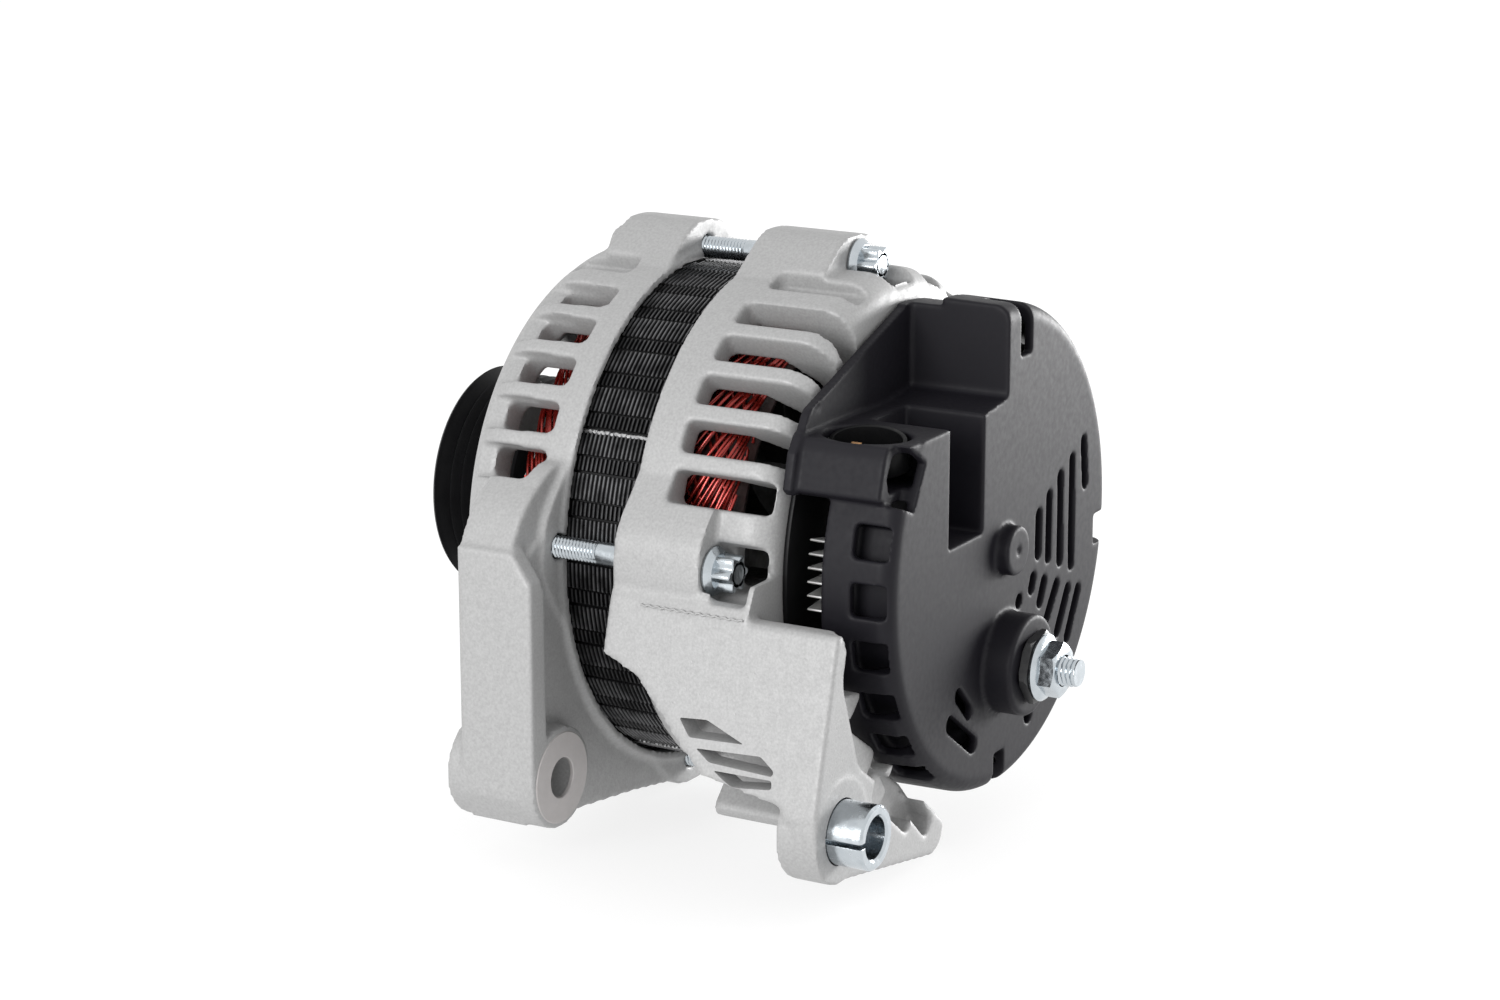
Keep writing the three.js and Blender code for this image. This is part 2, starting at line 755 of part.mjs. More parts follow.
// A coil spring that stands on the brush and pushes it down.
function brushSpring(rear) {
  const middle = rear + SLIP.width / 2;
  const turns = 4.5;
  const wire = 0.3;
  const low = BRUSH.top + 0.15 + wire;
  const high = BRUSH.springTop - 0.15 - wire;
  const steps = 32;
  const points = Array.from({ length: steps + 1 }, (_, i) => {
    const turn = (i / steps) * turns * 2 * Math.PI;
    return new THREE.Vector3(
      1.6 * Math.cos(turn),
      middle + 1.6 * Math.sin(turn),
      low + ((high - low) * i) / steps,
    );
  });
  const path = new THREE.CatmullRomCurve3(points);
  const section = outline([[-wire, -wire], [wire, -wire], [wire, wire], [-wire, wire]]);
  const options = { steps, bevelEnabled: false, extrudePath: path };
  return solid(new THREE.ExtrudeGeometry(section, options));
}

function regulator() {
  const body = box(6, 33, 5, 19, 9.6, 34);
  const ears = REGULATOR_SCREWS.map(([x, z]) => box(30, x + 4, 17, 19, z - 4, z + 4));
  const fins = [9, 14, 19, 24, 29].map((x) => box(x, x + 1.6, 3.6, 6, 11, 32.5));
  const holes = REGULATOR_SCREWS.map(([x, z]) => rod(2.3, 10, 22, x, z, 10));
  return cut(join(body, ...ears, ...fins), ...holes);
}

function regulatorScrew([x, z]) {
  return join(rod(2, 15, 31.5, x, z, 8), rod(3.6, 14.6, 16.7, x, z, 12));
}

// ---- battery terminal and connector -------------------------------------------------------
function terminalStud() {
  const corners = Array.from({ length: 6 }, (_, i) => polar(7.5, i * 60));
  const base = corners.map(([x, z]) => [x + TERMINAL.x, z + TERMINAL.z]);
  return join(
    rod(TERMINAL.stud - 0.6, -22, -20, TERMINAL.x, TERMINAL.z, 14),
    rod(TERMINAL.stud, -21.2, 16, TERMINAL.x, TERMINAL.z, 14),
    prism(outline(base), 15, POSITIVE.rear - GAP),
  );
}

function terminalInsulator() {
  const { x, z, stud } = TERMINAL;
  const corners = Array.from({ length: 6 }, (_, i) => polar(10, i * 60 + 8));
  const hex = prism(outline(corners.map(([dx, dz]) => [x + dx, z + dz])), -11.2, -8.8);
  return cut(join(hex, rod(6.2, -9, 6, x, z, 20)), rod(stud + GAP, -13, 8, x, z, 14));
}

function terminalNut() {
  const { x, z, stud } = TERMINAL;
  const corners = Array.from({ length: 6 }, (_, i) => polar(7.5, i * 60 + 22));
  const hex = prism(outline(corners.map(([dx, dz]) => [x + dx, z + dz])), -17.6, -12.5);
  return cut(join(hex, rod(8.95, -13, -11.5, x, z, 20)), rod(stud + GAP, -20, -10, x, z, 14));
}

// The connector's own axis leans from vertical, square to the cover's slanted top edge.
const CONNECTOR = { x: -47.3, station: 16, z: 38, lean: 20, down: 8, up: 1, a: 7, b: 10.5 };

function connectorPrism(a, b, low, high) {
  const shape = new THREE.Shape().absellipse(0, 0, a, b, 0, 2 * Math.PI, false, 0);
  const options = { depth: high - low, bevelEnabled: false, curveSegments: 9 };
  const geometry = new THREE.ExtrudeGeometry(shape, options).translate(0, 0, low);
  geometry.rotateY(-CONNECTOR.lean * RAD);
  return solid(geometry.translate(CONNECTOR.x, CONNECTOR.station, CONNECTOR.z));
}

function connectorSocket() {
  const { a, b, down, up } = CONNECTOR;
  return cut(connectorPrism(a, b, -down, up), connectorPrism(a - 1.4, b - 1.4, 1.6 - down, up + 1));
}

function connectorPin(offset) {
  const { x, station, z, lean, down } = CONNECTOR;
  const blade = new THREE.BoxGeometry(0.8, 2.8, 4).translate(0, offset, 1.9 - down + 2);
  return solid(blade.rotateY(-lean * RAD).translate(x, station, z));
}

// ---- rear cover ---------------------------------------------------------------------------
const RECESS = [[0.2, 75], [0.2, 40.5], [-13.6, 38.8], [-33, 39], [-75, 39], [-75, 75]];
const BLOCK = [
  [2.9, 62.8],
  [-4.3, 61.8],
  [-54, 44.7],
  [-59.5, 36],
  [-62.5, 26],
  [-58, 24],
  [-36, 24],
  [-36, 36],
  [2.9, 36],
];
const SLOT = [[-33, 7.5], [-13.6, 7.5], [-13.6, 45], [-33, 45]];
const SLOT_WALLS = [[-36, 4.9], [-11, 4.9], [-11, 42], [-36, 42]];

function coverShell() {
  const { outer, wall, skirt, edge } = COVER;
  return lathe([
    [0, 0],
    ...arc(outer - edge, edge, edge, -90, 0, 4),
    [outer + 0.3, skirt],
    [outer - 2, skirt],
    [outer - wall, edge + 2],
    [outer - edge - 1, wall],
    [0, wall],
  ]);
}

// A vent slot through the cover's flat face, along a line from one end to the other.
function faceSlot(x0, z0, x1, z1, width) {
  const along = new THREE.Vector2(x1 - x0, z1 - z0).setLength(width / 2);
  const across = [-along.y, along.x];
  const corner = (x, z, forward, side) => [
    x + along.x * forward + across[0] * side,
    z + along.y * forward + across[1] * side,
  ];
  const ends = [
    corner(x0, z0, -1, 0),
    corner(x0, z0, 0, 1),
    corner(x1, z1, 0, 1),
    corner(x1, z1, 1, 0),
    corner(x1, z1, 0, -1),
    corner(x0, z0, 0, -1),
  ];
  return prism(outline(ends), -1, COVER.wall + 2);
}

function coverVents() {
  const upper = [
    [20.5, 6.4, 20.3, -7.8],
    [26.8, 10, 26.7, -10.3],
    [33.6, 14, 34.2, -13],
    [40.9, 17.1, 41.5, -15.8],
    [47.9, 20.6, 49.8, 5.2],
  ];
  const lower = [
    [9.8, -15.4, 8.2, -17.5],
    [18.2, -10.6, 15.9, -16.4],
    [25.2, -13.2, 21.2, -21.4],
    [33.4, -16.2, 25.4, -27.4],
    [40.6, -19.2, 32.6, -32.6],
    [47.2, -21, 39.2, -35.8],
  ];
  return [...upper, ...lower].map(([x0, z0, x1, z1]) => faceSlot(x0, z0, x1, z1, 3.6));
}

function coverCutouts() {
  const skirtAngles = [166, 179.3, 192.6, 206, 219, 232, 300, 313, 326, 340, 8, 21, 34, 47];
  const skirtVents = skirtAngles.map((angle) => wedge(59, 70, 4.2, 1.8, 11.5, angle));
  return [
    ...coverVents(),
    ...skirtVents,
    box(7.5, 14, -1, 12, 50, 70),
    box(-4.5, 1.5, -1, 12, -70, -55),
    box(56, 70, -1, 12, -12, -3.5),
    faceSlot(-26.4, -32.5, -19.5, -39.5, 5),
    faceSlot(-30.5, -38.5, -17, -48.6, 6),
    faceSlot(14.5, -50, 17.5, -50.6, 4),
  ];
}

function rearCover() {
  const block = prism(outline(BLOCK), 0.4, COVER.front);
  const topWall = prism(
    outline([...arc(0, 0, 62.8, 72, 93, 4), ...arc(0, 0, 60, 93, 72, 4)]),
    10,
    COVER.front,
  );
  const slotWalls = prism(outline(SLOT_WALLS), 0.4, COVER.slotFront);
  const slot = prism(outline(SLOT), -2, COVER.slotFront - 2);
  const recess = prism(outline(RECESS), -2, COVER.front - 2.6);
  const blockHollow = prism(
    outline([[-37.5, 27], [-57, 27], [-58, 31], [-55, 36.2], [-37.5, 36.2]]),
    2.6,
    COVER.front + 1,
  );
  const cornerNotch = wedge(57, 72, 6.5, -1, 4.6, 151);
  const centreBoss = rod(6.6, -4, 1, 0, 0, 20);
  const bossDimple = rod(1.2, -5, -3, 0, 0, 8);
  const terminalBoss = rod(TERMINAL.boss, TERMINAL.bossEnd, 1, TERMINAL.x, TERMINAL.z, 24);
  const body = join(coverShell(), block, slotWalls, topWall, centreBoss, terminalBoss);
  return cut(
    body,
    recess,
    slot,
    blockHollow,
    cornerNotch,
    bossDimple,
    rod(6.6, -12, 6, TERMINAL.x, TERMINAL.z),
    connectorPrism(CONNECTOR.a + 0.5, CONNECTOR.b + 0.5, -6, 8),
    ...coverCutouts(),
  );
}

// ---- assembly -----------------------------------------------------------------------------
const BLACK = { color: 0x1b1b1d, roughness: 0.5, metalness: 0.1 };
const ZINC = { color: 0xc9ced2, roughness: 0.28, metalness: 0.9 };
const STEEL = { color: 0x8d8f92, roughness: 0.4, metalness: 0.85 };
const COPPER = { color: 0x8a2f1b, roughness: 0.4, metalness: 0.6 };
const PLASTIC = { color: 0x35353a, roughness: 0.55, metalness: 0 };
const BRONZE = { color: 0xb87333, roughness: 0.35, metalness: 0.9 };

piece("front_bracket", frontBracket(), CAST);
piece("rear_bracket", rearBracket(), CAST);
piece("foot_bushing", bushing(), ZINC);
BOLT.angles.forEach((angle, i) => piece(`through_bolt_${i + 1}`, throughBolt(angle), ZINC));
piece("stator_core", statorCore(), BLACK);
piece("stator_winding", statorWinding(), COPPER);
piece("rotor_shaft", shaft(), STEEL);
piece("front_claw_pole", clawPole(ROTOR.front, -1, 0), STEEL);
piece("rear_claw_pole", clawPole(ROTOR.rear, 1, 30), STEEL);
piece("coil_bobbin", coilBobbin(), PLASTIC);
piece("field_coil", fieldCoil(), COPPER);
piece("front_fan", fan(ROTOR.front + GAP, ROTOR.front + 1, 107, 9, 8), STEEL);
piece("rear_fan", fan(ROTOR.rear - GAP - 1.4, 53.5, ROTOR.rear - 1, 11, -8), STEEL);
piece("slip_ring_sleeve", ring(SHAFT.slip + GAP, SLIP.sleeve, 4, 23.6, 16), PLASTIC);
SLIP.rears.forEach((rear, i) => {
  const side = ["outer", "inner"][i];
  const slipRing = ring(SLIP.sleeve + GAP, SLIP.ring, rear, rear + SLIP.width);
  piece(`slip_ring_${side}`, slipRing, BRONZE);
  piece(`brush_${side}`, brush(rear), BLACK);
  piece(`brush_spring_${side}`, brushSpring(rear), STEEL);
});
piece("front_bearing_inner_race", innerRace(FRONT_BEARING), STEEL);
piece("front_bearing_outer_race", outerRace(FRONT_BEARING), STEEL);
piece("front_bearing_balls", ballCage(FRONT_BEARING), STEEL);
piece("rear_bearing_inner_race", innerRace(REAR_BEARING), STEEL);
piece("rear_bearing_outer_race", outerRace(REAR_BEARING), STEEL);
piece("rear_bearing_balls", ballCage(REAR_BEARING), STEEL);
piece("bearing_retainer", bearingRetainer(), ZINC);
RETAINER_ANGLES.forEach((angle, i) => piece(`retainer_screw_${i + 1}`, retainerScrew(angle), ZINC));
piece("pulley_collar", ring(SHAFT.front, 13, 126.1, PULLEY.back - GAP), STEEL);
piece("pulley", pulley(), BLACK);
piece("pulley_nut", pulleyNut(), ZINC);
piece("positive_heat_sink", positiveHeatSink(), CAST);
piece("negative_heat_sink", negativeHeatSink(), CAST);
POSITIVE.diodes.forEach((angle, i) => {
  piece(`positive_diode_${i + 1}`, diode(angle, 17.5, 25, 14.8), STEEL);
});
NEGATIVE.diodes.forEach((angle, i) => {
  piece(`negative_diode_${i + 1}`, diode(angle, 24.8, 31, 23.4), STEEL);
});
piece("terminal_board", terminalBoard(), PLASTIC);
piece("brush_holder", brushHolder(), PLASTIC);
piece("regulator", regulator(), BLACK);
REGULATOR_SCREWS.forEach((place, i) => {
  piece(`regulator_screw_${i + 1}`, regulatorScrew(place), ZINC);
});
piece("terminal_stud", terminalStud(), ZINC);
piece("terminal_insulator", terminalInsulator(), BLACK);
piece("terminal_nut", terminalNut(), ZINC);
piece("connector_socket", connectorSocket(), BLACK);
[-3.5, 3.5].forEach((offset, i) => piece(`connector_pin_${i + 1}`, connectorPin(offset), BRONZE));
piece("rear_cover", rearCover(), PLASTIC);

export default group;
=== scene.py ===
"""Car alternator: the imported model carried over, with its visible pieces rebuilt in detail.

Lengths in the shape functions are millimetres. Stations run forwards along the rotor axis from
the rear cover's flat face, and radii are taken from that axis. Polar angles are in degrees, from
+X towards +Z. at() turns such a place into metres in the row frame.
"""
import json
import math
import random

import bmesh
import bpy
from mathutils import Matrix, Vector


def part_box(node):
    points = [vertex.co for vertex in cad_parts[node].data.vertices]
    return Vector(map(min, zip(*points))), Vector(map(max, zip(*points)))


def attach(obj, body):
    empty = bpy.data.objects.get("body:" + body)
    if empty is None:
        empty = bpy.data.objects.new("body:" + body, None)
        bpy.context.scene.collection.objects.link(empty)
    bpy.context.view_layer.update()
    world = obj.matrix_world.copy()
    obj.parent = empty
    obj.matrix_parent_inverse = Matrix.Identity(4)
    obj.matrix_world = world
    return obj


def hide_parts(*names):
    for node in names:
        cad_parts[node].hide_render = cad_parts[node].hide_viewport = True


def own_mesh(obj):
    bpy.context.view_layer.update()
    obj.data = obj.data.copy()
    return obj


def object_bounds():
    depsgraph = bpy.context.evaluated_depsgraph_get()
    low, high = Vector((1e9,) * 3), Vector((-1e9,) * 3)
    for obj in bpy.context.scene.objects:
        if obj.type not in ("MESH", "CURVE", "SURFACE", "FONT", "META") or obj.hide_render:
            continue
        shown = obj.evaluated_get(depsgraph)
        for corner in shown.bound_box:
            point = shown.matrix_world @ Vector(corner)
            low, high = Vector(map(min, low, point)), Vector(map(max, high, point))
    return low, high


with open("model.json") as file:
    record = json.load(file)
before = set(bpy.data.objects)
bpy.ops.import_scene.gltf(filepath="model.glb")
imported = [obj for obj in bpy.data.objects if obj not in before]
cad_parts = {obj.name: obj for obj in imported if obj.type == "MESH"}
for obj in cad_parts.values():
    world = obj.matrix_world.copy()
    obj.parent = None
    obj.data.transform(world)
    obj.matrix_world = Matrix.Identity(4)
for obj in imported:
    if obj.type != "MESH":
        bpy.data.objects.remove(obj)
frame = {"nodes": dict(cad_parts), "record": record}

CAD_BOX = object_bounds()
NODES = frame["nodes"]
MM = 0.001
SHAFT_FRONT = 158
SEGMENTS = 96

BOLT_ANGLES = [86, 176, 266, 356]
BOLT_CIRCLE = 71
BOLT_SEAT = 47
BOLT_TIP = 112
LUG = {"front_rear": 92.6, "front_end": 114, "rear_end": 47, "rear_front": 72, "top": 78.4}
SHELL = {"outer": 70.5, "pilot": 68.2, "inner": 62.6}
WINDOW = {"first": 116.8, "pitch": 10.8, "half": 3.5, "blind": 104}
FOOT = (-78.5, -54.4)
FOOT_BOSS = 13.5
BOLT_HOLE = 3.4
CASTING_GRAIN = {"voxel": 0.75, "passes": 3, "share": 0.7}
TERMINAL = (0, -30.5)
TERMINAL_BOSS = 13.5
COVER = {"outer": 64.6, "wall": 2.5, "skirt": 19.6, "edge": 4.5, "front": 31.2}
SKIRT_VENTS = [166, 179.3, 192.6, 206, 219, 232, 300, 313, 326, 340, 8, 21, 34, 47]
PULLEY = {"grooves": 6, "first": 137.1, "pitch": 3.56, "ridge": 29.6, "root": 26.4}
CONNECTOR = {"x": -47.3, "station": 16, "z": 38, "lean": 20}
STATOR = {"rear": 66, "front": 98, "outer": 67.4, "bore": 49.2, "slots": 36, "end": 3.9}
SHEET_PITCH = 1.28
BAND = {"pitch": 10, "start": 6.2, "end": 9.4}
WINDING = {"turns": 64}
SPRING = {"coil": 1.6, "wire": 0.3, "turns": 5.5, "brush": 22.4, "seat": 32.4, "travel": 7}

random.seed(7)


# ---- shapes -------------------------------------------------------------------------------
def at(x, station, z):
    return (x * MM, (station - SHAFT_FRONT) * MM, z * MM)


def polar(radius, angle):
    turn = math.radians(angle)
    return radius * math.cos(turn), radius * math.sin(turn)


def arc(cx, cy, radius, start, end, steps):
    points = []
    for i in range(steps + 1):
        dx, dy = polar(radius, start + (end - start) * i / steps)
        points.append((cx + dx, cy + dy))
    return points


def rounded(corners, radius, steps=5):
    """The outline with each corner rounded off."""
    points = []
    for i, corner in enumerate(corners):
        middle = Vector(corner)
        before = Vector(corners[i - 1]) - middle
        after = Vector(corners[(i + 1) % len(corners)]) - middle
        start = middle + before.normalized() * min(radius, before.length * 0.48)
        end = middle + after.normalized() * min(radius, after.length * 0.48)
        for k in range(steps + 1):
            t = k / steps
            points.append(tuple(start * (1 - t) ** 2 + middle * 2 * t * (1 - t) + end * t * t))
    return points


def new_object(points, faces, name="shape"):
    mesh = bpy.data.meshes.new(name)
    mesh.from_pydata([at(*p) for p in points], [], faces)
    shape = bmesh.new()
    shape.from_mesh(mesh)
    bmesh.ops.recalc_face_normals(shape, faces=shape.faces)
    shape.to_mesh(mesh)
    shape.free()
    made = bpy.data.objects.new(name, mesh)
    bpy.context.scene.collection.objects.link(made)
    return made


def between(rows, closed_rows=True, caps=False):
    """Faces between rows of point numbers, each row being a closed loop."""
    faces = []
    pairs = zip(rows, rows[1:] + rows[:1]) if closed_rows else zip(rows, rows[1:])
    for here, there in pairs:
        count = len(here)
        for k in range(count):
            after = (k + 1) % count
            corners = dict.fromkeys([here[k], here[after], there[after], there[k]])
            if len(corners) > 2:
                faces.append(list(corners))
    if caps:
        faces += [rows[0], rows[-1]]
    return faces


def lathe(profile, segments=SEGMENTS, x=0, z=0):
    """A solid of revolution. The profile is a closed loop of (radius, station) pairs."""
    points = []
    rows = []
    for radius, station in profile:
        start = len(points)
        if radius == 0:
            points.append((x, station, z))
            rows.append([start] * segments)
            continue
        for k in range(segments):
            dx, dz = polar(radius, 360 * k / segments)
            points.append((x + dx, station, z + dz))
        rows.append(list(range(start, start + segments)))
    return new_object(points, between(rows))


def ring(inner, outer, rear, front, segments=SEGMENTS, soft=0.0, x=0, z=0):
    """A tube with its edges broken by the soft size."""
    e = soft
    profile = [(inner, rear + e), (inner + e, rear), (outer - e, rear), (outer, rear + e)]
    profile += [(outer, front - e), (outer - e, front), (inner + e, front), (inner, front - e)]
    if not e:
        profile = [(inner, rear), (outer, rear), (outer, front), (inner, front)]
    return lathe(profile, segments, x, z)


def rod(radius, rear, front, x=0, z=0, segments=48, soft=0.0):
    profile = [(0, rear), (radius - soft, rear), (radius, rear + soft)]
    profile += [(radius, front - soft), (radius - soft, front), (0, front)]
    if not soft:
        profile = [(0, rear), (radius, rear), (radius, front), (0, front)]
    return lathe(profile, segments, x, z)


def between_ends(points):
    """The solid between two outlines of as many points, given one after the other."""
    count = len(points) // 2
    rows = [list(range(count)), list(range(count, 2 * count))]
    return new_object(points, between(rows, closed_rows=False, caps=True))


def prism(outline, rear, front):
    """A prism along the rotor axis, from an outline of (x, z) points."""
    return between_ends([(x, s, z) for s in (rear, front) for x, z in outline])


def side_prism(outline, x0, x1):
    """A prism along X, from an outline of (station, z) points."""
    return between_ends([(x, s, z) for x in (x0, x1) for s, z in outline])


def radial_prism(outline, rear, front, angle):
    """A prism whose outline's first axis points out along the angle."""
    c, s = polar(1, angle)
    return prism([(u * c - v * s, u * s + v * c) for u, v in outline], rear, front)


def window(r0, r1, half, rear, front, angle, corner=1.6):
    """A cutter with rounded corners, drawn on the shell and run from radius r0 out to r1."""
    reach = half * math.pi / 180 * SHELL["outer"]
    outline = rounded([(-reach, rear), (reach, rear), (reach, front), (-reach, front)], corner)
    points = []
    for radius in (r0, r1):
        for across, station in outline:
            x, z = polar(radius, angle + math.degrees(across / SHELL["outer"]))
            points.append((x, station, z))
    return between_ends(points)


def face_vent(r0, r1, half, rear, front, angle):
    """A cutter shaped as part of a ring."""
    near = [polar(r0, angle - half + half * i / 3) for i in range(7)]
    far = [polar(r1, angle + half - half * i / 3) for i in range(7)]
    return prism(near + far, rear, front)


def box(x0, x1, rear, front, z0, z1):
    return prism([(x0, z0), (x1, z0), (x1, z1), (x0, z1)], rear, front)


def tube(path, radius, sides=6):
    """A wire along a list of (x, station, z) points, closed at both ends."""
    points = []
    rows = []
    spots = [Vector(p) for p in path]
    for i, spot in enumerate(spots):
        along = (spots[min(i + 1, len(spots) - 1)] - spots[max(i - 1, 0)]).normalized()
        side = along.cross(Vector((0.31, 0.2, 0.93))).normalized()
        up = along.cross(side)
        rows.append(list(range(len(points), len(points) + sides)))
        for k in range(sides):
            a, b = polar(radius, 360 * k / sides)
            points.append(tuple(spot + side * a + up * b))
    return points, between(rows, closed_rows=False, caps=True)


def settle(obj):
    """Applies the object's modifiers."""
    graph = bpy.context.evaluated_depsgraph_get()
    mesh = bpy.data.meshes.new_from_object(obj.evaluated_get(graph))
    obj.modifiers.clear()
    obj.data = mesh
    return obj


def carve(base, added=(), cut=()):
    """Joins the added solids to the base, then cuts the others from it."""
    for operation, tools in (("UNION", added), ("DIFFERENCE", cut)):
        for tool in tools:
            step = base.modifiers.new(operation, "BOOLEAN")
            step.operation = operation
            step.solver = "MANIFOLD"
            step.object = tool
    settle(base)
    for tool in [*added, *cut]:
        bpy.data.objects.remove(tool)
    return base


def shared(base, keep):
    """The part of the base that lies inside the other solid."""
    step = base.modifiers.new("shared", "BOOLEAN")
    step.operation = "INTERSECT"
    step.solver = "MANIFOLD"
    step.object = keep
    settle(base)
    bpy.data.objects.remove(keep)
    return base


def soften(obj, voxel, passes, share):
    """Rounds every edge a little, as a casting or a moulding has them, and thins the mesh."""
    remesh = obj.modifiers.new("remesh", "REMESH")
    remesh.mode = "VOXEL"
    remesh.voxel_size = voxel * MM
    smooth = obj.modifiers.new("smooth", "SMOOTH")
    smooth.factor = 0.5
    smooth.iterations = passes
    thin = obj.modifiers.new("thin", "DECIMATE")
    thin.ratio = share
    return settle(obj)


def bevel(obj, width, segments=2, angle=30):
    step = obj.modifiers.new("bevel", "BEVEL")
    step.width = width * MM
    step.segments = segments
    step.limit_method = "ANGLE"
    step.angle_limit = math.radians(angle)
    step.use_clamp_overlap = True
    return obj


def shade(obj, angle=35):
    """Smooth shading, kept sharp where faces meet at more than the angle."""
    shape = bmesh.new()
    shape.from_mesh(obj.data)
    for face in shape.faces:
        face.smooth = True
    for edge in shape.edges:
        if len(edge.link_faces) == 2:
            edge.smooth = edge.calc_face_angle() < math.radians(angle)
    shape.to_mesh(obj.data)
    shape.free()
    return obj


def merged(objects):
    """Several objects as one mesh."""
    shape = bmesh.new()
    for obj in objects:
        shape.from_mesh(obj.data)
        bpy.data.objects.remove(obj)
    mesh = bpy.data.meshes.new("merged")
    shape.to_mesh(mesh)
    shape.free()
    made = bpy.data.objects.new("merged", mesh)
    bpy.context.scene.collection.objects.link(made)
    return made


def finish_piece(obj, name, body, look, nodes, angle=35):
    """Names the piece, gives it its material, and puts it on its body in place of its nodes."""
    shade(obj, angle)
    obj.name = name
    obj.data.name = name
    obj.data.materials.clear()
    obj.data.materials.append(look)
    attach(obj, body)
    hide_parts(*nodes)
    return obj


# ---- materials ----------------------------------------------------------------------------
class Look:
    """A node material built up from noise layers in object coordinates."""

    def __init__(self, name, metallic=0.0, roughness=0.5, coat=0.0, coat_roughness=0.1):
        self.material = bpy.data.materials.new(name)
        self.material.use_nodes = True
        self.nodes = self.material.node_tree.nodes
        self.links = self.material.node_tree.links
        self.shader = self.nodes["Principled BSDF"]
        self.shader.inputs["Metallic"].default_value = metallic
        self.shader.inputs["Roughness"].default_value = roughness
        self.shader.inputs["Coat Weight"].default_value = coat
        self.shader.inputs["Coat Roughness"].default_value = coat_roughness
        self.place = self.nodes.new("ShaderNodeTexCoord").outputs["Object"]
        self.bump = None

    def noise(self, size, detail=4.0, stretch=None):
        """Noise whose features are about this many millimetres across."""
        place = self.place
        if stretch:
            mapping = self.nodes.new("ShaderNodeMapping")
            mapping.inputs["Scale"].default_value = stretch
            self.links.new(place, mapping.inputs["Vector"])
            place = mapping.outputs["Vector"]
        made = self.nodes.new("ShaderNodeTexNoise")
        made.inputs["Scale"].default_value = 1000 / size
        made.inputs["Detail"].default_value = detail
        self.links.new(place, made.inputs["Vector"])
        return made.outputs["Fac"]

    def pits(self, size):
        """Cell noise: small round spots about this many millimetres apart."""
        made = self.nodes.new("ShaderNodeTexVoronoi")
        made.inputs["Scale"].default_value = 1000 / size
        self.links.new(self.place, made.inputs["Vector"])
        return made.outputs["Distance"]

    def ramp(self, factor, low, high, start, end):
        """Colours or numbers from low to high as the factor goes from start to end."""
        made = self.nodes.new("ShaderNodeMapRange")
        made.inputs["From Min"].default_value = start
        made.inputs["From Max"].default_value = end
        made.inputs["To Min"].default_value = low
        made.inputs["To Max"].default_value = high
        self.links.new(factor, made.inputs["Value"])
        return made.outputs["Result"]

    def colour(self, factor, first, second):
        mix = self.nodes.new("ShaderNodeMix")
        mix.data_type = "RGBA"
        mix.inputs["A"].default_value = (*first, 1)
        mix.inputs["B"].default_value = (*second, 1)
        self.links.new(factor, mix.inputs["Factor"])
        self.links.new(mix.outputs["Result"], self.shader.inputs["Base Color"])
        return self

    def distance_from_axis(self):
        """How far each point is from the rotor axis, in metres."""
        across = self.nodes.new("ShaderNodeVectorMath")
        across.operation = "MULTIPLY"
        across.inputs[1].default_value = (1, 0, 1)
        length = self.nodes.new("ShaderNodeVectorMath")
        length.operation = "LENGTH"
        self.links.new(self.place, across.inputs[0])
        self.links.new(across.outputs["Vector"], length.inputs[0])
        return length.outputs["Value"]

    def product(self, first, second):
        made = self.nodes.new("ShaderNodeMath")
        made.operation = "MULTIPLY"
        self.links.new(first, made.inputs[0])
        self.links.new(second, made.inputs[1])
        return made.outputs["Value"]

    def roughness(self, factor, low, high):
        self.links.new(self.ramp(factor, low, high, 0.3, 0.7), self.shader.inputs["Roughness"])
        return self

    def relief(self, height, depth, strength=1.0):
        """Adds bump of about this depth in millimetres."""
        made = self.nodes.new("ShaderNodeBump")
        made.inputs["Distance"].default_value = depth * MM
        made.inputs["Strength"].default_value = strength
        self.links.new(height, made.inputs["Height"])
        if self.bump:
            self.links.new(self.bump, made.inputs["Normal"])
        self.bump = made.outputs["Normal"]
        self.links.new(self.bump, self.shader.inputs["Normal"])
        return self


def cast_look(name):
    look = Look(name, metallic=0.15, roughness=0.5)
    grain = look.noise(0.7, 6)
    look.colour(look.ramp(grain, 0, 1, 0.3, 0.7), (0.30, 0.30, 0.30), (0.37, 0.37, 0.37))
    look.roughness(look.noise(3), 0.42, 0.6)
    look.relief(look.noise(0.5, 3), 0.045)
    look.relief(look.noise(7, 5), 0.12)
    look.relief(look.ramp(look.pits(2.6), 0, 1, 0.02, 0.12), 0.05)
    return look.material


def machined_look():
    look = Look("machined aluminium", metallic=0.15, roughness=0.4)
    look.colour(look.noise(3, 5), (0.38, 0.36, 0.355), (0.45, 0.43, 0.425))
    look.roughness(look.noise(0.8, 4, (1, 6, 1)), 0.34, 0.5)
    look.relief(look.noise(0.5, 3, (1, 6, 1)), 0.01)
    return look.material


def sheet_look():
    look = Look("heat sink aluminium", metallic=0.85, roughness=0.35)
    look.colour(look.noise(2.5, 5), (0.62, 0.62, 0.61), (0.8, 0.8, 0.79))
    look.roughness(look.noise(1.2), 0.28, 0.5)
    look.relief(look.noise(0.8, 3), 0.02)
    return look.material


def zinc_look():
    look = Look("zinc plating", metallic=1.0, roughness=0.2)
    look.colour(look.noise(3, 5), (0.42, 0.46, 0.49), (0.62, 0.66, 0.69))
    look.roughness(look.noise(1.5), 0.12, 0.3)
    look.relief(look.noise(0.9, 4), 0.012)
    return look.material


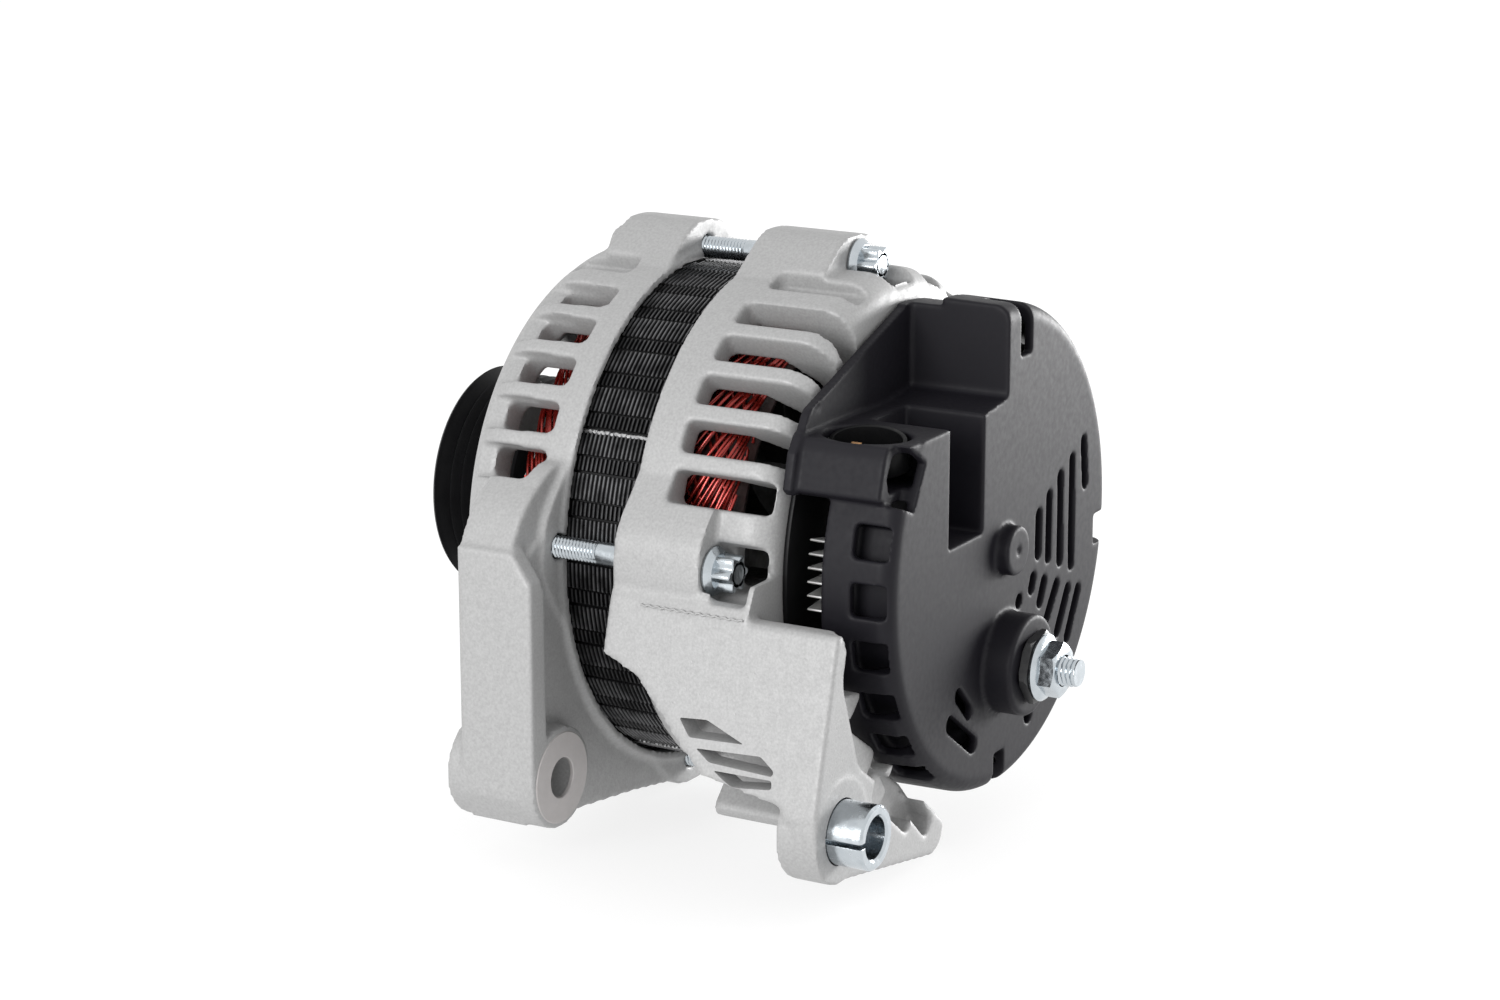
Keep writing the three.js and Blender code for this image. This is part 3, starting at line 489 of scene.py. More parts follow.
def steel_look():
    look = Look("machined steel", metallic=0.9, roughness=0.35)
    look.colour(look.noise(4, 5), (0.2, 0.2, 0.205), (0.34, 0.34, 0.35))
    look.roughness(look.noise(0.8, 4, (1, 12, 1)), 0.28, 0.48)
    look.relief(look.noise(0.5, 3, (1, 9, 1)), 0.01)
    return look.material


def rotor_look():
    look = Look("blackened rotor steel", metallic=0.6, roughness=0.45)
    look.colour(look.noise(5, 5), (0.02, 0.02, 0.021), (0.06, 0.058, 0.056))
    look.roughness(look.noise(1.5), 0.35, 0.6)
    look.relief(look.noise(0.8, 4), 0.02)
    return look.material


def lamination_look():
    """Black varnish, with a painted highlight along the outermost sheet edges that varies at
    random.
    """
    look = Look("varnished laminations", metallic=0.6, roughness=0.32)
    highlight_patches = look.ramp(look.noise(5, 5), 0.25, 1, 0.35, 0.6)
    # Painted highlight: the outermost sheet ridges are coloured bright and the grooves black, for
    # the light their edges catch.
    edge = look.ramp(look.distance_from_axis(), 0, 1, 0.0669, 0.0674)
    look.colour(look.product(edge, highlight_patches), (0.002, 0.002, 0.0025), (0.14, 0.14, 0.145))
    look.roughness(look.noise(0.9), 0.26, 0.45)
    look.relief(look.noise(0.4, 3), 0.015)
    return look.material


def weld_look():
    look = Look("bare weld", metallic=1.0, roughness=0.35)
    look.colour(look.noise(0.8, 4), (0.25, 0.25, 0.26), (0.7, 0.7, 0.7))
    look.roughness(look.noise(0.5), 0.25, 0.55)
    look.relief(look.noise(0.5, 3), 0.06)
    return look.material


def copper_look():
    look = Look("enamelled copper", metallic=0.75, roughness=0.25, coat=0.6, coat_roughness=0.08)
    look.colour(look.noise(2.2, 3), (0.16, 0.008, 0.006), (0.42, 0.03, 0.02))
    look.roughness(look.noise(1.0), 0.18, 0.34)
    look.relief(look.noise(0.7, 2), 0.02)
    return look.material


# Near-black with a faint red: painted shade for the depth of the winding behind the end-turn wires.
def winding_shade_look():
    look = Look("painted winding shade", roughness=0.5)
    look.colour(look.noise(2, 4), (0.008, 0.005, 0.005), (0.03, 0.008, 0.006))
    look.roughness(look.noise(1.2), 0.35, 0.6)
    look.relief(look.noise(1.2, 3), 0.15)
    return look.material


def cover_look():
    look = Look("cover plastic", roughness=0.52)
    look.shader.inputs["Specular IOR Level"].default_value = 0.2
    look.colour(look.noise(12, 4), (0.0055, 0.0050, 0.0075), (0.0080, 0.0074, 0.0105))
    look.roughness(look.noise(1.6, 5), 0.47, 0.58)
    look.relief(look.noise(0.3, 2), 0.012)
    look.relief(look.noise(14, 2), 0.03)
    return look.material


def black_plastic_look():
    look = Look("black plastic", roughness=0.35)
    look.colour(look.noise(6, 4), (0.008, 0.008, 0.009), (0.016, 0.016, 0.017))
    look.roughness(look.noise(1.5, 4), 0.28, 0.45)
    look.relief(look.noise(0.4, 2), 0.012)
    return look.material


def deep_black_look():
    look = Look("deep black", roughness=0.35)
    look.shader.inputs["Specular IOR Level"].default_value = 0.12
    look.colour(look.noise(5, 4), (0.004, 0.004, 0.0045), (0.008, 0.008, 0.0085))
    look.roughness(look.noise(1.0, 4), 0.28, 0.42)
    look.relief(look.noise(0.5, 3), 0.01)
    return look.material


def bronze_look():
    look = Look("slip ring bronze", metallic=1.0, roughness=0.3)
    look.colour(look.noise(2, 4), (0.42, 0.22, 0.1), (0.6, 0.36, 0.18))
    look.roughness(look.noise(0.6, 3, (1, 8, 1)), 0.2, 0.4)
    look.relief(look.noise(0.5, 3, (1, 8, 1)), 0.01)
    return look.material


def carbon_look():
    look = Look("brush carbon", metallic=0.2, roughness=0.6)
    look.colour(look.noise(0.8, 5), (0.012, 0.012, 0.013), (0.035, 0.035, 0.036))
    look.roughness(look.noise(0.6), 0.5, 0.7)
    look.relief(look.noise(0.35, 3), 0.03)
    return look.material


CAST = cast_look("cast aluminium")
MACHINED = machined_look()
SHEET = sheet_look()
ZINC = zinc_look()
STEEL = steel_look()
ROTOR = rotor_look()
LAMINATION = lamination_look()
WELD = weld_look()
COPPER = copper_look()
WINDING_SHADE = winding_shade_look()
COVER_PLASTIC = cover_look()
BLACK_PLASTIC = black_plastic_look()
DEEP_BLACK = deep_black_look()
BRONZE = bronze_look()
CARBON = carbon_look()


# ---- brackets -----------------------------------------------------------------------------
def lug(angle, rear, front):
    top = LUG["top"]
    corners = [(63, -24), (66, -23), (top - 2.4, -10.5), (top, -5.5), (top, 5.5)]
    corners += [(top - 2.4, 10.5), (66, 23), (63, 24)]
    return radial_prism(rounded(corners, 4), rear, front, angle)


def window_angles(quadrant):
    first = WINDOW["first"] + quadrant * 90
    return [first + i * WINDOW["pitch"] for i in range(5)]


def foot_fillet():
    """The hollow curve between the front foot's outer wall and its web."""
    curve = [(-92, 88), *arc(-76, 83.6, 10, 154, 90, 8), (-76, 100), (-92, 100)]
    low, high = FOOT[1], -2
    return between_ends([(x, s, z) for z in (low, high) for x, s in curve])


def front_shell():
    profile = [
        (SHELL["inner"], 92),
        (SHELL["outer"], 92),
        *arc(55.5, 113, 15, 0, 90, 14),
        (30, 128),
        (29, 131),
        (16, 131),
        (16, 111.5),
        (29.5, 111.5),
        (29.5, 122),
        (54, 122),
        (SHELL["inner"], 113),
    ]
    return lathe(profile, 144)


def front_foot():
    """The foot's outer wall and solid web, with the hollow curve between them, and its boss."""
    wall = [(-90.5, -60), (-92, -57.5), (-92, 6), (-84, 18), (-71, 26), (-60, 26), (-60, -60)]
    bottom = [(-92, -58), (-87, -66), (-54, -70), (-34, -72.5), (-13, -76)]
    web = [*bottom, (-8, -60), (-40, -40), (-60, 20), (-92, 0)]
    x, z = FOOT
    return [
        prism(rounded(wall, 5), 94.5, 110),
        side_prism([(88, z), (88, 0), (93.5, 8), (110, 8), (110, z)], -92, -86),
        foot_fillet(),
        prism(web, 93.4, 110),
        rod(FOOT_BOSS, 88.2, 114.5, x, z, 72),
    ]


def front_windows():
    """The windows, each with the shallow trough beyond it."""
    windows = []
    for quadrant in range(-1, 3):
        for i, angle in enumerate(window_angles(quadrant)):
            if quadrant == 1 and i > 1:
                continue
            windows.append(window(50, 79, WINDOW["half"], 100, 117.5, angle, 2.2))
            windows.append(window(66.6, 79, WINDOW["half"] + 0.3, 108, 124.5, angle, 1))
    return windows


def front_bracket():
    shell = front_shell()
    nose = rounded([(60, -14), (74.5, -9), (75.5, 0), (74.5, 9), (60, 14)], 4)
    added = [
        *[lug(angle, LUG["front_rear"], LUG["front_end"]) for angle in BOLT_ANGLES],
        *[radial_prism(nose, 112, 118, angle) for angle in BOLT_ANGLES],
        *front_foot(),
    ]
    cut = [
        rod(SHELL["pilot"], 80, 98.3, segments=144),
        rod(SHELL["inner"], 80, 111.5, segments=144),
        rod(23.8, 100, 126.1),
        rod(15, 100, 140),
        *front_windows(),
        *[face_vent(35, 52, 9, 118, 134, 36 * k + 14) for k in range(10)],
        *[window(66.5, 79, 3.2, 102, 122, WINDOW["blind"] + q * 90 - 90) for q in (0, 1, 3)],
        *[rod(BOLT_HOLE, 90, 112.3, *polar(BOLT_CIRCLE, angle)) for angle in BOLT_ANGLES],
    ]
    body = soften(carve(shell, added, cut), **CASTING_GRAIN)
    x, z = FOOT
    return carve(body, [ring(5.2, 13.2, 88.0, 90, 96, 0.35, x, z)], [rod(5.9, 80, 120, x, z, 72)])


def parting_line():
    """The fine ridge that the casting mould left where the side panel folds into its ledge."""
    path = []
    for i in range(60):
        station = 33 + 29.5 * i / 59
        path.append((-80.2 + 0.12 * math.sin(2.1 * i), station, -3.8 + 0.2 * math.sin(1.3 * i)))
    return new_object(*tube(path, 0.28, 8))


def rear_shell():
    profile = [
        (12, 25.5),
        (23, 25.5),
        (25, 32),
        *arc(62.5, 40, 8, -90, 0, 10),
        (SHELL["outer"], 72),
        (SHELL["inner"] - 1, 72),
        (SHELL["inner"] - 1, 46),
        (55, 38),
        (22, 38),
        (22, 40),
        (12, 40),
    ]
    return lathe(profile, 144)


def side_panel():
    """The leaning panel, with its lower front edge cut away in steps and its rear corner round."""
    section = rounded([(-80, -4), (-92.3, -50), (-86.5, -50), (-74, -4)], 2)
    side = [(6, -9), (7.2, -6.2), (10.2, -4.3), (12, 0)]
    side += [(72, 0), (72, -17), (62, -21), (40, -42), (17, -46), (6, -60)]
    return shared(prism(section, 6, 72), side_prism(side, -98, -66))


def foot_web():
    """The web from the panel down to the foot's tip, with its two slots."""
    web = [(-80, -4), (-92.4, -52), (-90, -62), (-76, -68), (-27, -77), (-22.7, -74.7)]
    web += [(-21.1, -69.7), (-40.3, -54.2), (-49, -45), (-59.5, -47), (-68.7, -40.3)]
    web += [(-77, -18), (-77, -4)]
    slots = [
        [(-62, -51.5), (-57.5, -43), (-39, -62.3), (-42.6, -66.4)],
        [(-54, -50.8), (-47, -42), (-28.4, -66.8), (-31.8, -70.8)],
    ]
    room = rod(COVER["outer"] + 1.2, 0, COVER["skirt"], segments=128)
    cut = [room, *[prism(rounded(slot, 1.5), 0, 20) for slot in slots]]
    return carve(prism(rounded(web, 2), 6, 12), (), cut)


def foot_struts():
    """What ties the web to the shell, and the plate behind the web's slots."""
    back_plate = [(-84, -60), (-76, -68), (-27, -77), (-22.7, -74.7), (-21.1, -69.7)]
    back_plate += [(-36, -54), (-52, -40), (-70, -40)]
    return [
        prism(rounded(back_plate, 2), 13, 16),
        prism(rounded([(-90, -50), (-84, -66), (-60, -50), (-52, -42), (-70, -30)], 3), 10, 17),
        prism(rounded([(-66, -60), (-60, -66), (-46, -54), (-52, -46)], 2), 10, 50),
        prism(rounded([(-74, -22), (-82.5, -27), (-66, -30), (-60, -24)], 2), 10, 60),
    ]


def rear_windows():
    """The windows run over the corner onto the rear face, apart from the last of each group."""
    windows = []
    for quadrant in range(4):
        for i, angle in enumerate(window_angles(quadrant)):
            if quadrant == 1 and i in (0, 4):
                continue
            inner, rear = (50, 33.8) if i == 4 else (37, 20)
            windows.append(window(inner, 90, WINDOW["half"], rear, 61.5, angle))
    return windows


def panel_slots():
    outlines = [
        [(47.5, -29.2), (39.6, -28.6), (28.4, -32.9), (44, -33.5)],
        [(41.7, -35.8), (23.3, -35), (19.1, -38), (19.5, -39.3), (37.5, -38.6)],
        [(36, -40.3), (19.4, -40.2), (19.2, -42.4), (30.5, -43.6)],
    ]
    return [side_prism(rounded(outline, 0.8), -100, -76) for outline in outlines]


def rear_bracket():
    x, z = FOOT
    shell = rear_shell()
    added = [
        *[lug(angle, LUG["rear_end"], LUG["rear_front"]) for angle in BOLT_ANGLES],
        side_panel(),
        prism([(-80, -4), (-76, 4), (-60, 4), (-60, -10), (-78.5, -10)], 32, 72),
        foot_web(),
        *foot_struts(),
        rod(FOOT_BOSS, 5.7, 17, x, z, 72),
    ]
    cut = [
        rod(65.9, 0, 20, segments=128),
        rod(SHELL["pilot"], 65.7, 80, segments=144),
        rod(SHELL["inner"], 46, 80, segments=144),
        rod(17.8, 27, 60),
        rod(11, 20, 60),
        *rear_windows(),
        *[window(66.5, 79, 3.2, 34, 60, WINDOW["blind"] + q * 90, 3) for q in (0, 2, 3)],
        *[window(56, 84, 5, 33.5, 44, angle) for angle in (86, 176, 356)],
        *[rod(7.4, 34, BOLT_SEAT, *polar(BOLT_CIRCLE, angle)) for angle in BOLT_ANGLES],
        *[rod(BOLT_HOLE, 40, 75, *polar(BOLT_CIRCLE, angle)) for angle in BOLT_ANGLES],
    ]
    body = soften(carve(shell, added, cut), **CASTING_GRAIN)
    return carve(body, [parting_line()], [*panel_slots(), rod(8.6, 0, 20, x, z, 72)])


def bushing():
    x, z = FOOT
    tube_piece = ring(5.45, 8.3, -4, 18.5, 120, 0.6, x, z)
    slit = box(x - 10, x, -6, 20, z - 0.65, z + 0.65)
    return bevel(carve(tube_piece, (), [slit]), 0.15, 2, 50)


# ---- fasteners ----------------------------------------------------------------------------
def thread(radius, pitch, rear, front, x, z, depth=0.55, columns=40):
    """A helical thread, tapered at its rear end."""
    rows = []
    points = []
    steps = int((front - rear) / pitch * 8)
    for i in range(steps + 1):
        station = rear + (front - rear) * i / steps
        rows.append(list(range(len(points), len(points) + columns)))
        for k in range(columns):
            phase = (station / pitch + k / columns) % 1
            edge = min(1.0, (station - rear) / pitch + 0.15)
            local = radius - depth * pitch * abs(2 * phase - 1) * edge - (1 - edge) * 0.5
            dx, dz = polar(local, 360 * k / columns)
            points.append((x + dx, station, z + dz))
    return new_object(points, between(rows, closed_rows=False, caps=True))


def lobed_head(x, z, rear, front):
    outline = []
    for k in range(96):
        dx, dz = polar(4.2 + 0.75 * math.cos(math.radians(6 * k * 3.75)), k * 3.75)
        outline.append((x + dx, z + dz))
    return settle(bevel(prism(outline, rear, front), 0.5, 3, 40))


def through_bolt(angle):
    x, z = polar(BOLT_CIRCLE, angle)
    seat, end, radius = BOLT_SEAT, BOLT_SEAT - 7.5, 2.98
    profile = [(0, 2.6), (4.9, 2.4), (6.1, 1.3), (6.4, 0.8), (6.3, 0.3), (0, 0.3)]
    flange = lathe([(wide, seat - behind) for wide, behind in profile], 64, x, z)
    return merged(
        [
            lobed_head(x, z, end, seat - 1.6),
            ring(2.4, 3.4, end, end + 0.4, 48, 0.1, x, z),
            flange,
            rod(radius, seat - 1, 80, x, z),
            thread(radius, 1.0, 79.8, BOLT_TIP, x, z, 0.42),
        ]
    )


def hexagon(radius, rear, front, x, z, turn, chamfer=0.5):
    """A hexagonal prism whose corners are cut back by a cone at both ends."""
    corners = [polar(radius, 60 * k + turn) for k in range(6)]
    body = prism([(x + dx, z + dz) for dx, dz in corners], rear, front)
    low, high = radius - 2 * chamfer - 0.4, radius + 0.2
    profile = [(0, rear - 0.01), (low, rear - 0.01), (high, rear + chamfer + 0.4)]
    profile += [(high, front - chamfer - 0.4), (low, front + 0.01), (0, front + 0.01)]
    return shared(body, lathe(profile, 72, x, z))


def terminal_stud():
    x, z = TERMINAL
    return merged(
        [
            thread(3.98, 1.25, -22, -8, x, z, 0.42, 56),
            rod(3.9, -8.2, 16, x, z),
            hexagon(7.5, 15, 20.2, x, z, 0),
        ]
    )


def terminal_nut():
    x, z = TERMINAL
    profile = [(5.4, -13.6), (7.2, -13.2), (8.6, -12.4), (8.9, -12), (8.8, -11.5), (5.4, -11.5)]
    body = hexagon(7.5, -17.6, -12.6, x, z, 22)
    return carve(body, [lathe(profile, 96, x, z)], [rod(4.25, -20, -10, x, z)])


def terminal_insulator():
    x, z = TERMINAL
    body = hexagon(10, -11.2, -8.8, x, z, 8, 0.3)
    return carve(body, [rod(6.2, -9, 6, x, z, 64)], [rod(4.3, -13, 8, x, z, 48)])


def pulley_nut():
    body = hexagon(13.9, 151.3, 157, 0, 0, 10, 0.8)
    return carve(body, [ring(6, 14.5, 151.4, 152.6, 96, 0.3)], [rod(7.3, 150, 160)])


# ---- stator -------------------------------------------------------------------------------
def stator_radius(angle, station):
    """The stack's surface: sheet edges all over, set back and shifted in narrow stepped bands."""
    within = angle % BAND["pitch"]
    stepped = BAND["start"] < within < BAND["end"]
    sheet = ((station + (SHEET_PITCH / 2 if stepped else 0)) / SHEET_PITCH) % 1
    top = STATOR["outer"] - 0.05
    if station < STATOR["rear"] + STATOR["end"] or station > STATOR["front"] - STATOR["end"]:
        return top - 0.45
    if BAND["start"] - 0.4 < within < BAND["start"] or within > BAND["end"]:
        return top - 0.7
    return top - (0.22 if stepped else 0.0) - (0.6 if sheet > 0.5 else 0.0)


def stator_core():
    """The stack of sheets, drawn as a grid of fine ridges, with the slots in its bore."""
    rear, front = STATOR["rear"], STATOR["front"]
    stations = [rear, rear + 0.4]
    station = rear + STATOR["end"]
    while station < front - STATOR["end"]:
        stations += [station, station + 0.28, station + 0.32, station + 0.6]
        station += SHEET_PITCH / 2
    stations += [front - 0.4, front]
    angles = []
    for k in range(STATOR["slots"]):
        angles += [k * 10 + t for t in (0.05, 2, 4, 5.75, 5.9, 6.15, 6.3, 7.3, 8.3, 9.3, 9.5, 9.95)]
    points = []
    rows = []
    for s in stations:
        rows.append(list(range(len(points), len(points) + len(angles))))
        for angle in angles:
            x, z = polar(stator_radius(angle, s), angle)
            points.append((x, s, z))
    for s in (front, rear):
        row = list(range(len(points), len(points) + len(angles)))
        for angle in angles:
            tooth = angle % BAND["pitch"] < BAND["start"]
            x, z = polar(STATOR["bore"] if tooth else 61, angle)
            points.append((x, s, z))
        rows.append(row)
    return new_object(points, between(rows))


def weld_bead(angle):
    path = []
    for i in range(60):
        station = 70.5 + 24 * i / 59
        radius = STATOR["outer"] - 0.55 + random.uniform(-0.12, 0.12)
        x, z = polar(radius, angle + random.uniform(-0.12, 0.12))
        path.append((x, station, z))
    return new_object(*tube(path, 0.55, 8))


def wire_path(angle, lean, start, tip, radius):
    """One wire of an end turn: out of its slot, round the ring, then in over the crown."""
    path = []
    sway = random.uniform(-0.5, 0.5)
    for i in range(13):
        t = i / 12
        station = start + (tip - start) * (1 - (1 - t) ** 1.5)
        lift = math.sin(math.pi * min(1, 0.18 + t * 0.8))
        out = radius - 2.2 * (1 - lift) + 0.25 * math.sin(9 * t + angle)
        x, z = polar(out, angle + lean * t + sway * math.sin(5 * t))
        path.append((x, station, z))
    return path


def stator_winding():
    """Crossing layers of end-turn wires at both ends of the core."""
    points = []
    faces = []
    for start, tip in ((65.8, 50.2), (98.2, 112.4)):
        for lean, radius in ((34, 58.4), (-44, 59.2), (-36, 60.2)):
            for k in range(WINDING["turns"]):
                angle = 360 * (k + random.uniform(-0.3, 0.3)) / WINDING["turns"]
                end = tip + random.uniform(-0.8, 0.8)
                path = wire_path(angle, lean, start, end, radius + random.uniform(-0.4, 0.3))
                more, quads = tube(path, 0.46, 6)
                faces += [[i + len(points) for i in face] for face in quads]
                points += more
    return new_object(points, faces)


# Near-black rings just inside the end-turn wires: painted shade for the shaded depth of the winding
# between the wires.
def painted_shade_ring():
    return merged([ring(52.2, 57.2, 48.5, 65.7, 96, 2), ring(52.2, 57.2, 98.3, 110.4, 96, 2)])


# ---- rotor --------------------------------------------------------------------------------
def pulley():
    ridge, root, half = PULLEY["ridge"], PULLEY["root"], PULLEY["pitch"] / 2
    profile = [(8.5, 134.5), (30.4, 134.5), (31, 135.1), (31, 135.9), (30.5, 136.3)]
    for i in range(PULLEY["grooves"]):
        start = PULLEY["first"] + i * PULLEY["pitch"]
        low = start + half
        profile += [(ridge - 0.3, start - 0.35), (ridge, start), (ridge - 0.3, start + 0.35)]
        profile += [(root + 0.2, low - 0.3), (root, low), (root + 0.2, low + 0.3)]
    profile += [(29.3, 158.1), (ridge, 158.46), (30.5, 158.9), (31, 159.3), (30.5, 160)]
    profile += [(28.4, 160), (28, 159.6), (20, 158), (17, 151), (8.5, 151)]
    return lathe(profile, 160)


def fan(plate_rear, vane_rear, vane_front, blades, lean):
    """A pressed fan: a plate and curved upright vanes."""
    vanes = []
    for k in range(blades):
        outline = []
        for side in (-0.7, 0.7):
            steps = range(9) if side < 0 else range(8, -1, -1)
            for i in steps:
                t = i / 8
                outline.append((27 + 17 * t, lean * t ** 1.6 + side))
        vanes.append(radial_prism(outline, vane_rear, vane_front, 360 * k / blades))
    return merged([ring(10.8, 45, plate_rear, plate_rear + 1.4, 96, 0.3), *vanes])


def shaft():
    profile = [(0, 3.2), (4, 3.2), (5, 4.2), (5, 24.3), (8.2, 25.3), (8.2, 38.3), (10.1, 38.3)]
    profile += [(10.5, 38.8), (10.5, 110.4), (10.1, 110.8), (8.2, 110.8), (8.2, 151), (7, 151)]
    profile += [(7, 157), (6, 158), (2.2, 158), (1.2, 156.4), (0, 156.4)]
    return lathe(profile)


# ---- rear electrics and connector ---------------------------------------------------------
def connector_oval(a, b, low, high, grow=0.0):
    """An oval prism along the connector's own leaning axis."""
    lean = math.radians(CONNECTOR["lean"])
    points = []
    for height, extra in ((low, 0.0), (high, grow)):
        for k in range(64):
            across = (a + extra) * math.cos(k * math.pi / 32)
            along = (b + extra) * math.sin(k * math.pi / 32)
            x = CONNECTOR["x"] + across * math.cos(lean) - height * math.sin(lean)
            z = CONNECTOR["z"] + across * math.sin(lean) + height * math.cos(lean)
            points.append((x, CONNECTOR["station"] + along, z))
    return between_ends(points)


def connector_socket():
    body = connector_oval(7, 10.5, -8, -0.6)
    step = carve(body, (), [connector_oval(5.9, 9.4, -6.4, 2)])
    return bevel(step, 0.25, 2, 40)


def heat_sink_fins():
    """The positive heat sink with its comb of fins."""
    edge = [*arc(0, 0, 53, 163, 345, 60), *arc(0, 0, 27, 345, 190, 40), (-38, 3), (-39, 14)]
    plate = prism(edge, 20.5, 23)
    fins = []
    for k in range(6):
        outline = [(50, -0.55), (60.3, -0.35), (60.6, 0), (60.3, 0.35), (50, 0.55)]
        fins.append(radial_prism(outline, 17.6, 25.8, 167.5 + 3.4 * k))
    holes = [rod(5.3, 19, 25, *polar(40, angle)) for angle in (212, 240, 328)]
    return bevel(carve(plate, fins, holes), 0.15, 2, 40)


# ---- rear cover ---------------------------------------------------------------------------
def face_slot(x0, z0, x1, z1, width):
    """A round-ended slot through the cover's flat face, from one of its ends to the other."""
    run = Vector((x1 - x0, z1 - z0))
    way = run.normalized()
    inset = way * min(width / 2, run.length * 0.4)
    x0, z0, x1, z1 = x0 + inset.x, z0 + inset.y, x1 - inset.x, z1 - inset.y
    heading = math.degrees(math.atan2(way.y, way.x))
    outline = arc(x1, z1, width / 2, heading - 90, heading + 90, 10)
    outline += arc(x0, z0, width / 2, heading + 90, heading + 270, 10)
    return prism(outline, -2, 6)


def cover_slots():
    upper = [
        (20.5, 6.4, 20.3, -7.8),
        (26.8, 10, 26.7, -10.3),
        (33.6, 14, 34.2, -13),
        (40.9, 17.1, 41.5, -15.8),
        (47.9, 20.6, 49.8, 5.2),
    ]
    lower = [
        (9.8, -15.4, 8.2, -17.5),
        (18.2, -10.6, 15.9, -16.4),
        (25.2, -13.2, 21.2, -21.4),
        (33.4, -16.2, 25.4, -27.4),
        (40.6, -19.2, 32.6, -32.6),
        (47.2, -21, 39.2, -35.8),
    ]
    slots = [face_slot(*ends, 3.6) for ends in upper + lower]
    slots.append(face_slot(-27.4, -31.5, -18.5, -40.5, 4.2))
    slots.append(face_slot(-32.5, -38.2, -15.5, -50, 4.8))
    slots.append(face_slot(14.5, -50, 17.5, -50.6, 4))
    return slots


def rear_cover():
    outer, wall, skirt, edge = COVER["outer"], COVER["wall"], COVER["skirt"], COVER["edge"]
    shell = lathe(
        [
            (0, 0),
            *arc(outer - edge, edge, edge, -90, 0, 10),
            (outer + 0.3, skirt),
            (outer - 2, skirt),
            (outer - wall, edge + 2),
            (outer - edge - 1, wall),
            (0, wall),
        ],
        160,
    )
    block = [(2.9, 62.8), (-4.3, 61.8), (-54, 44.7), (-59.5, 36), (-62.5, 26)]
    block += [(-58, 24), (-36, 24), (-36, 36), (2.9, 36)]
    top_wall = [*arc(0, 0, 62.8, 72, 93, 16), *arc(0, 0, 60, 93, 72, 16)]
    inner_wall = [*arc(0, 0, 58.4, 162, 414, 120), *arc(0, 0, 57, 414, 162, 120)]
    vent_floor = [*arc(0, 0, 63, 162, 414, 120), *arc(0, 0, 50, 414, 162, 120)]
    x, z = TERMINAL
    end_rib = [(-57, 40), (-58.6, 39.4), (-61.6, 35.2), (-63.9, 26.2), (-62, 24.5), (-58, 24.5)]
    added = [
        prism(rounded(block, 1.2), 0.4, COVER["front"]),
        prism(end_rib, 28.4, COVER["front"]),
        prism(top_wall, 6, COVER["front"]),
        prism(inner_wall, 1, 15.5),
        prism(vent_floor, 13.6, 15.5),
        prism([(-36, 4.9), (-11, 4.9), (-11, 42), (-36, 42)], 0.4, 24.6),
        rod(6.6, -4, 1, soft=0.4),
        rod(TERMINAL_BOSS, -8.5, 1, x, z, 96, 0.6),
    ]
    recess = [(0.2, 75), (0.2, 40.5), (-13.6, 38.8), (-33, 39), (-75, 39), (-75, 75)]
    hollow = [(-37.5, 27), (-57, 27), (-58, 31), (-55, 36.2), (-37.5, 36.2)]
    cut = [
        prism(rounded(recess, 1.5), -2, 28.6),
        prism(rounded([(-33, 7.5), (-13.6, 7.5), (-13.6, 45), (-33, 45)], 1.0), -2, 22.6),
        prism(rounded(hollow, 1.0), 2.6, 32.5),
        window(57, 72, 6.5, -3, 4.6, 151, 0.3),
        rod(1.2, -5, -3.2),
        rod(6.6, -12, 6, x, z, 64),
        connector_oval(7.5, 11, -6, 8, 2.0),
        *cover_slots(),
        *[window(59, 70, 3.9, 1.8, 11.5, angle, 1.4) for angle in SKIRT_VENTS],
        box(7.5, 14, -1, 12, 50, 70),
        box(-4.5, 1.5, -1, 12, -70, -55),
        box(56, 70, -1, 12, -12, -3.5),
    ]
    body = carve(shell, added, cut)
    return soften(body, 0.55, 3, 0.7)


def brush_spring(station, bottom, top):
    path = []
    steps = 130
    for i in range(steps + 1):
        dx, ds = polar(SPRING["coil"], 360 * SPRING["turns"] * i / steps)
        path.append((dx, station + ds, bottom + (top - bottom) * i / steps))
    return new_object(*tube(path, SPRING["wire"], 8))


# ---- assembly -----------------------------------------------------------------------------
def rebuild(node, made, look, body="housing", angle=35):
    """Puts a detailed piece in place of the CAD node of the same name."""
    return finish_piece(made, node + "_detail", body, look, [node], angle)


def rebuild_housing():
    rebuild("front_bracket", front_bracket(), CAST, angle=50)
    rebuild("rear_bracket", rear_bracket(), CAST, angle=50)
    rebuild("foot_bushing", settle(bushing()), ZINC)
    for i, angle in enumerate(BOLT_ANGLES):
        rebuild(f"through_bolt_{i + 1}", through_bolt(angle), ZINC)
    rebuild("stator_core", stator_core(), LAMINATION, angle=25)
    rebuild("stator_winding", stator_winding(), COPPER, angle=60)
    rebuild("terminal_stud", terminal_stud(), ZINC)
    rebuild("terminal_nut", terminal_nut(), ZINC)
    rebuild("terminal_insulator", terminal_insulator(), BLACK_PLASTIC)
    rebuild("connector_socket", settle(connector_socket()), DEEP_BLACK)
    rebuild("positive_heat_sink", settle(heat_sink_fins()), SHEET)
    rebuild("rear_cover", rear_cover(), COVER_PLASTIC, angle=50)


